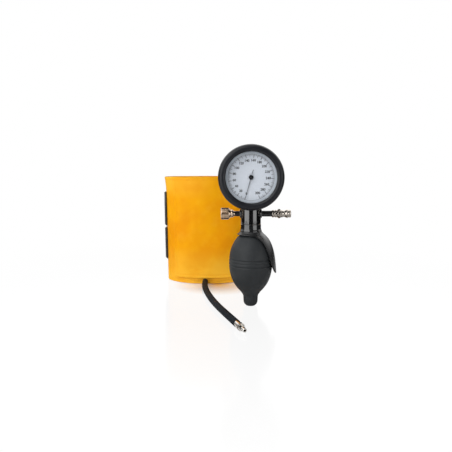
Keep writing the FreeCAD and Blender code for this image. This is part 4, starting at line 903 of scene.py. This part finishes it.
def clothPanel(name, look, material, face, back):
    # two layers of cloth that meet in a rounded edge
    start, end, foot, top = look["area"]
    edge = look["edge"]
    closed = look.get("closed", False)
    columns = stops(start, end, look["step"], look.get("seamsAcross", ()), 0 if closed else edge)
    rows = stops(foot, top, look["step"], look["seamsUp"], edge)
    points, faces, spots = [], [], []
    for side in (1, -1):
        first = len(points)
        for s in columns:
            for z in rows:
                near = min(z - foot, top - z) if closed else min(z - foot, top - z, s - start, end - s)
                share = min(near / edge, 1.0)
                full = math.sqrt(max(0.0, 1 - (1 - share) ** 2))
                half = (face(s, z) - back(s, z)) / 2
                points.append(aroundCuff(s, back(s, z) + half + side * half * full, z))
                spots.append((s, z))
        for column in range(len(columns) - 1):
            for row in range(len(rows) - 1):
                corner = first + column * len(rows) + row
                faces.append((corner, corner + len(rows), corner + len(rows) + 1, corner + 1))
    return newPiece(name, points, faces, material, "cuff", spots)


swelling = {"heldWithin": 0.0016, "quality": 4, "mass": 0.2, "frames": 20}


def puffed(piece, look):
    # simulated: held along its edges and seams, the cloth between them swells a little
    mesh = piece.data
    start, end, foot, top = look["area"]
    held = piece.vertex_groups.new(name="held")
    flat = mesh.uv_layers["cloth"].data
    places = {loop.vertex_index: flat[loop.index].uv.copy() for loop in mesh.loops}
    up, across = [foot, top, *look["seamsUp"]], list(look.get("seamsAcross", ()))
    if not look.get("closed", False):
        across += [start, end]
    for number, (s, z) in places.items():
        away = [abs(z - line) for line in up] + [abs(s - line) for line in across]
        if min(away) < swelling["heldWithin"]:
            held.add([number], 1.0, "REPLACE")
    before = [vertex.co.copy() for vertex in mesh.vertices]
    normals = [vertex.normal.copy() for vertex in mesh.vertices]
    swell = piece.modifiers.new("swell", "CLOTH")
    swell.settings.quality = swelling["quality"]
    swell.settings.use_pressure = True
    swell.settings.uniform_pressure_force = look["pressure"]
    swell.settings.vertex_group_mass = "held"
    swell.settings.effector_weights.gravity = 0
    swell.settings.mass = swelling["mass"]
    swell.point_cache.frame_start, swell.point_cache.frame_end = 1, swelling["frames"]
    scene = bpy.context.scene
    for number in range(1, swelling["frames"] + 1):
        scene.frame_set(number)
    swollen = asBuilt(piece).data
    after = [vertex.co.copy() for vertex in swollen.vertices]
    piece.modifiers.remove(swell)
    scene.frame_set(1)
    for vertex, old, new, normal in zip(mesh.vertices, before, after, normals):
        outward = Vector((old.x - cuffMiddle.x, old.y - cuffMiddle.y, 0))
        cap = look["rise"] if normal.dot(outward) > 0 else look["give"]
        move = new - old
        vertex.co = old + move * min(1.0, cap / max(move.length, 1e-9))
    piece.vertex_groups.remove(held)
    smooth = piece.modifiers.new("smooth", "SUBSURF")
    smooth.levels = smooth.render_levels = 1


foldShape = {"up": 0.75, "tightAcross": 2.4, "tightUp": 1.1, "broad": 0.75, "tight": 0.35, "level": 0.32}
seamWidth = 0.0006


def folds(s, z, look, seed):
    # broad soft dents of cloth that is wrapped and pressed, 0 at most
    shape, across, up = foldShape, s / look["wide"], z / look["wide"]
    broad = noise.noise(Vector((across, up * shape["up"], seed)))
    tight = noise.noise(Vector((across * shape["tightAcross"], up * shape["tightUp"], seed + 7.0)))
    return min(0.0, (broad * shape["broad"] + tight * shape["tight"] - shape["level"])) * look["depth"]


def groove(at, seams, depth):
    return -depth * sum(math.exp(-((at - seam) / seamWidth) ** 2) for seam in seams)


wallLook = {"area": (0.0, wholeRun, 0.0, cuffPath["height"]), "edge": 0.0012, "step": 0.0033, "closed": True,
            "seamsUp": (0.0042, 0.1388), "seamDepth": 0.0003, "pressure": 3.0, "rise": 0.0007, "give": 0.0010,
            "wide": 0.034, "seed": 3.0, "innerSeed": 21.0, "inner": 0.6, "depth": 0.0024, "thick": 0.006,
            "joinCalm": 0.02, "flapMargin": 0.002, "flapFoot": 0.010, "patchMargin": 0.003}
flapLook = {"area": (0.1061, 0.2511, 0.0082, 0.143), "edge": 0.00115, "step": 0.0030,
            "seamsUp": (0.0124, 0.1386), "seamsAcross": (0.1105, 0.2455), "seamDepth": 0.00035,
            "seamMost": 0.0004, "pressure": 4.0, "rise": 0.0009, "give": 0.00005, "wide": 0.042,
            "seed": 11.0, "depth": 0.0034, "edgeCalm": 0.012, "atEdge": 0.25, "low": 0.0009, "high": 0.0033}
loopLook = {"area": (0.1075, 0.2500, 0.0094, 0.1418), "edge": 0.00035, "step": 0.005, "seamsUp": (),
            "high": 0.0008}
patchLook = {"from": 0.0558, "to": 0.0861, "heights": ((0.0752, 0.1220), (0.0296, 0.0729)), "edge": 0.0009,
             "step": 0.003, "seamsUp": (), "tape": 0.0021, "hook": 0.0009, "hookThick": 0.00033,
             "pitch": 0.0015, "inset": 0.0018}
sunk = 0.0001  # how far one layer goes into the next


def wallFace(s, z):
    look = wallLook
    covered = flapLook["area"][0] - look["flapMargin"] < s < flapLook["area"][1] and z > look["flapFoot"]
    patched = patchLook["from"] - look["patchMargin"] < s < patchLook["to"] + look["patchMargin"]
    bend = 0.0 if covered or patched else folds(s, z, look, look["seed"]) * fromJoin(s)
    return bend - sunk + groove(z, look["seamsUp"], look["seamDepth"])


def wallBack(s, z):
    look = wallLook
    bend = folds(s, z, look, look["innerSeed"]) * fromJoin(s) * look["inner"]
    return -look["thick"] - bend - groove(z, look["seamsUp"], look["seamDepth"])


def fromJoin(s):  # 0 where the wall closes on itself, 1 away from it
    return min(1.0, min(s, wholeRun - s) / wallLook["joinCalm"])


def flapFace(s, z):
    look = flapLook
    start, end, foot, top = look["area"]
    calm = min(1.0, min(s - start, end - s, z - foot, top - z) / look["edgeCalm"])
    seams = groove(z, look["seamsUp"], look["seamDepth"]) + groove(s, look["seamsAcross"], look["seamDepth"])
    share = look["atEdge"] + (1 - look["atEdge"]) * calm
    return look["high"] + folds(s, z, look, look["seed"]) * share + max(seams, -look["seamMost"])


def level(height):  # the same all over a piece of cloth
    return lambda s, z: height


def makeCuff():
    wall = clothPanel("cuffWall", wallLook, cuffNylon, wallFace, wallBack)
    puffed(wall, wallLook)
    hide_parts("cuff_cover", "cuff_lining", "bladder")
    print("cuff wall made")

    loops = clothPanel("loopPanel", loopLook, loopPile, level(loopLook["high"]), level(sunk))
    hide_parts("loop_panel")

    flap = clothPanel("frontFlap", flapLook, cuffNylon, flapFace, level(flapLook["low"]))
    puffed(flap, flapLook)
    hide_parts("cuff_flap")
    rows = makeStitches(wall, flap)

    patches = (("hookPatchUpper", "hook_patch_upper"), ("hookPatchLower", "hook_patch_lower"))
    for (name, node), (low, high) in zip(patches, patchLook["heights"]):
        patchArea = {**patchLook, "area": (patchLook["from"], patchLook["to"], low, high)}
        tape = clothPanel(name, patchArea, hookTape, level(patchLook["tape"]), level(sunk))
        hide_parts(node)
        hooks = makeHooks(name + "Hooks", low, high)


def makeHooks(name, low, high):
    look = patchLook
    left, right = look["from"] + look["inset"], look["to"] - look["inset"]
    low, high = low + look["inset"], high - look["inset"]
    across, up = round((right - left) / look["pitch"]), round((high - low) / look["pitch"])
    host, faces = [], []
    for column in range(across + 1):
        for row in range(up + 1):
            s, z = left + (right - left) * column / across, low + (high - low) * row / up
            host.append(aroundCuff(s, look["tape"] - sunk, z))
            if column and row:
                corner = column * (up + 1) + row
                faces.append((corner - up - 2, corner - 1, corner, corner - up - 1))
    hooks = grown(name, hookField, {"Thick": look["hookThick"], "Tall": look["hook"], "Finish": hookTape},
                  Matrix(), "cuff", host, (), faces)
    return hooks


stitchLook = {"steps": 90, "pitch": 0.0026, "thick": 0.00024, "fromEdge": 0.0044, "fromFoot": 0.0042,
              "fromRight": 0.0012, "clear": 0.004, "outside": 0.02, "within": -0.01, "reach": 0.04}


def surfaceLine(tree, places):
    # where straight lines from outside meet the cloth
    look = stitchLook
    made = []
    for s, z in places:
        outside, within = aroundCuff(s, look["outside"], z), aroundCuff(s, look["within"], z)
        hit = tree.ray_cast(outside, (within - outside).normalized(), look["reach"])[0]
        made.append(hit if hit is not None else aroundCuff(s, flapLook["high"], z))
    return made


def stitched(name, piece, lines):
    look = stitchLook
    tree = BVHTree.FromObject(piece, bpy.context.evaluated_depsgraph_get())
    host, edges = [], []
    for (s0, z0), (s1, z1) in lines:
        first, shares = len(host), [step / look["steps"] for step in range(look["steps"] + 1)]
        host += surfaceLine(tree, [(s0 + (s1 - s0) * share, z0 + (z1 - z0) * share) for share in shares])
        edges += [(first + step, first + step + 1) for step in range(look["steps"])]
    return grown(name, stitchRow, {"Pitch": look["pitch"], "Thick": look["thick"], "Finish": thread},
                 Matrix(), "cuff", host, edges)


def makeStitches(wall, flap):
    look = stitchLook
    start, end, foot, top = flapLook["area"]
    left, right = start + look["fromEdge"], end - look["fromEdge"]
    low, high, inner = foot + look["fromFoot"], top - look["fromEdge"], right - look["fromRight"]
    rows = stitched("flapStitches", flap, [
        ((left, low), (left, high)), ((left, high), (right, high)),
        ((inner, low), (inner, high)), ((left, low), (right, low))])
    before, after, around = start - look["clear"], end + look["clear"], wholeRun + start - look["clear"]
    low, high = look["fromFoot"], top - look["fromFoot"]
    wallRows = stitched("wallStitches", wall, [
        ((after, high), (around, high)), ((after, low), (around, low)), ((before, low), (after, low))])
    return rows


makeCuff()
print("cuff made")


# hose: out of the cuff's foot, forward and to the right along the surface

hoseShape = {
    "diameter": 0.0075, "height": 0.004,
    "route": [(0, 0), (0, -0.024), (0.0045, -0.060), (0.0125, -0.101), (0.0235, -0.142), (0.0385, -0.190)],
}


def makeHose():
    look = hoseShape
    line = bpy.data.curves.new("cuffHose", "CURVE")
    line.dimensions = "3D"
    line.bevel_depth = look["diameter"] / 2
    line.bevel_resolution = 8
    line.resolution_u = 24
    line.use_fill_caps = True
    run = line.splines.new("NURBS")
    run.points.add(len(look["route"]) - 1)
    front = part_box("port_eyelet")[0].y
    for point, (x, y) in zip(run.points, look["route"]):
        point.co = (hoseExit.x + x, front + y, look["height"], 1)
    run.order_u = 3
    run.use_endpoint_u = True
    hose = linked("cuffHose", line)
    line.materials.append(hoseRubber)
    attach(hose, "cuff")
    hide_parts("hose")
    steps = [Vector(b) - Vector(a) for a, b in zip(look["route"], look["route"][1:])]


makeHose()
print("hose made")


# finishes of the CAD nodes, by the record's slots

slotLooks = {
    "soft_rubber": softRubber, "bulb_rubber": bulbRubber, "hose_rubber": hoseRubber, "seal_rubber": sealRubber,
    "black_gloss": glossPlastic, "black_metal": blackLacquer, "case_alloy": caseAlloy, "brass": brass,
    "steel": steel, "chrome": chrome, "lens": clearLens, "dial_white": dialWhite, "pointer_black": ink,
    "cuff_nylon": cuffNylon, "lining_nylon": liningNylon, "hook_tape": hookTape, "loop_pile": loopPile,
}
# nodes with a finish of their own
nodeLooks = {"dial_spacer": spacerGrey, "bezel_ring": trimBlack, "hose_plug": plugChrome, "plug_nut": plugChrome}

for part in frame["record"]["subparts"]:
    solid = frame["nodes"][part["node"]]
    look = nodeLooks.get(part["node"], slotLooks[part["material_slot"]])
    solid.data.materials.clear()
    solid.data.materials.append(look)
print("finishes given")


# stage: floor, world, lamps and camera

stageLook = {
    "floor": ((-0.52, -0.52), (0.52, 0.75)), "paper": (0.92, 0.92, 0.92, 1), "paperRough": 0.2,
    "paperBend": 1.8, "glow": 0.92, "near": 0.14, "far": 0.45, "white": (1, 1, 1, 1),
    "polishAt": (0.0154, -0.0387), "polishRadius": 0.06, "polish": 0.92, "mirrorRough": 0.16,
    "worldFill": 0.07, "worldShine": 0.005, "backShine": 2.2, "shineBehind": (-0.2, 0.5),
    "shineAbove": (0.02, 0.45),
}


def floorLook(tree):
    # the camera sees it as white paper, with the object's shadow; further off it is evenly white
    look = stageLook
    seen = tree.add("ShaderNodeLightPath", output="Is Camera Ray")
    x, y, _ = tree.parts(tree.own())
    away = (x * x + y * y) ** 0.5
    glowing = away.between(look["near"], look["far"]) * (1 - look["glow"]) + look["glow"]
    # the cuff's foot mirrors in the floor before it, less and less further out
    right, back = look["polishAt"]
    across, ahead = x - (cuffMiddle.x + right), y - (cuffMiddle.y + back)
    outside = ((across * across + ahead * ahead) ** 0.5).between(0.0, look["polishRadius"])
    lit = surface(tree, Base_Color=look["paper"], Roughness=look["paperRough"], IOR=look["paperBend"])
    mirror = surface(tree, Base_Color=look["white"], Roughness=look["mirrorRough"], Metallic=1.0)
    polished = tree.add("ShaderNodeMixShader", {}, {0: seen * look["polish"], 1: lit, 2: mirror})
    glow = tree.add("ShaderNodeEmission", {}, {"Color": look["white"], "Strength": 1.0})
    return tree.add("ShaderNodeMixShader", {}, {0: seen * glowing * outside, 1: polished, 2: glow})


def makeStage():
    look = stageLook
    (left, front), (right, back) = look["floor"]
    mesh = bpy.data.meshes.new("floor")
    mesh.from_pydata([(left, front, 0), (right, front, 0), (right, back, 0), (left, back, 0)], [], [(0, 1, 2, 3)])
    mesh.materials.append(finish("floorWhite", floorLook))
    floor = linked("floor", mesh)

    world = bpy.data.worlds.new("studio")
    bpy.context.scene.world = world
    world.use_nodes = True
    world.node_tree.nodes.clear()
    tree = Tree(world.node_tree)
    seen = tree.add("ShaderNodeLightPath", output="Is Camera Ray")
    shine = tree.add("ShaderNodeLightPath", output="Is Glossy Ray")
    _, behind, above = tree.parts(tree.add("ShaderNodeTexCoord", output="Generated"))
    fill = look["worldFill"]
    bright = behind.between(*look["shineBehind"]) * above.between(*look["shineAbove"]) * look["backShine"]
    strength = seen * (1 - fill) + fill + shine * (bright + look["worldShine"] - fill)
    sky = tree.add("ShaderNodeBackground", {}, {"Color": look["white"], "Strength": strength})
    tree.add("ShaderNodeOutputWorld", {}, {"Surface": sky})


lamps = {
    # name: azimuth and elevation from the hand unit, distance, width, height, brightness
    "leftBox": (-48.6, 22.0, 1.05, 1.2, 1.5, 2.55),
    "rightBox": (45.3, 5.0, 1.05, 0.80, 0.6, 2.3),
    "topBox": (-25.0, 62.0, 1.10, 1.0, 0.9, 0.9),
}


lampTarget = Vector((unitAxis.x, unitAxis.y, 0.11))
cameraLook = {"sensor": 36, "lens": 42.65, "shift": -0.0794, "right": 0.0070, "before": 0.6, "height": 0.158,
              "tilt": 87.37}


def makeLamps():
    for name, (azimuth, elevation, distance, width, height, bright) in lamps.items():
        a, e = math.radians(azimuth), math.radians(elevation)
        away = Vector((math.sin(a) * math.cos(e), -math.cos(a) * math.cos(e), math.sin(e)))
        light = bpy.data.lights.new(name, "AREA")
        light.shape, light.size, light.size_y = "RECTANGLE", width, height
        light.energy = bright * math.pi * width * height
        lamp = linked(name, light)
        lamp.location = lampTarget + away * distance
        lamp.rotation_euler = away.to_track_quat("Z", "Y").to_euler()


def makeCamera():
    look = cameraLook
    lens = bpy.data.cameras.new("camera")
    lens.sensor_width, lens.lens, lens.shift_y = look["sensor"], look["lens"], look["shift"]
    camera = linked("camera", lens)
    camera.location = (look["right"], unitAxis.y - look["before"], look["height"])
    camera.rotation_euler = (math.radians(look["tilt"]), 0, 0)
    bpy.context.scene.camera = camera


makeStage()
makeLamps()
makeCamera()
bpy.context.scene.view_settings.view_transform = "Standard"
print("stage made")
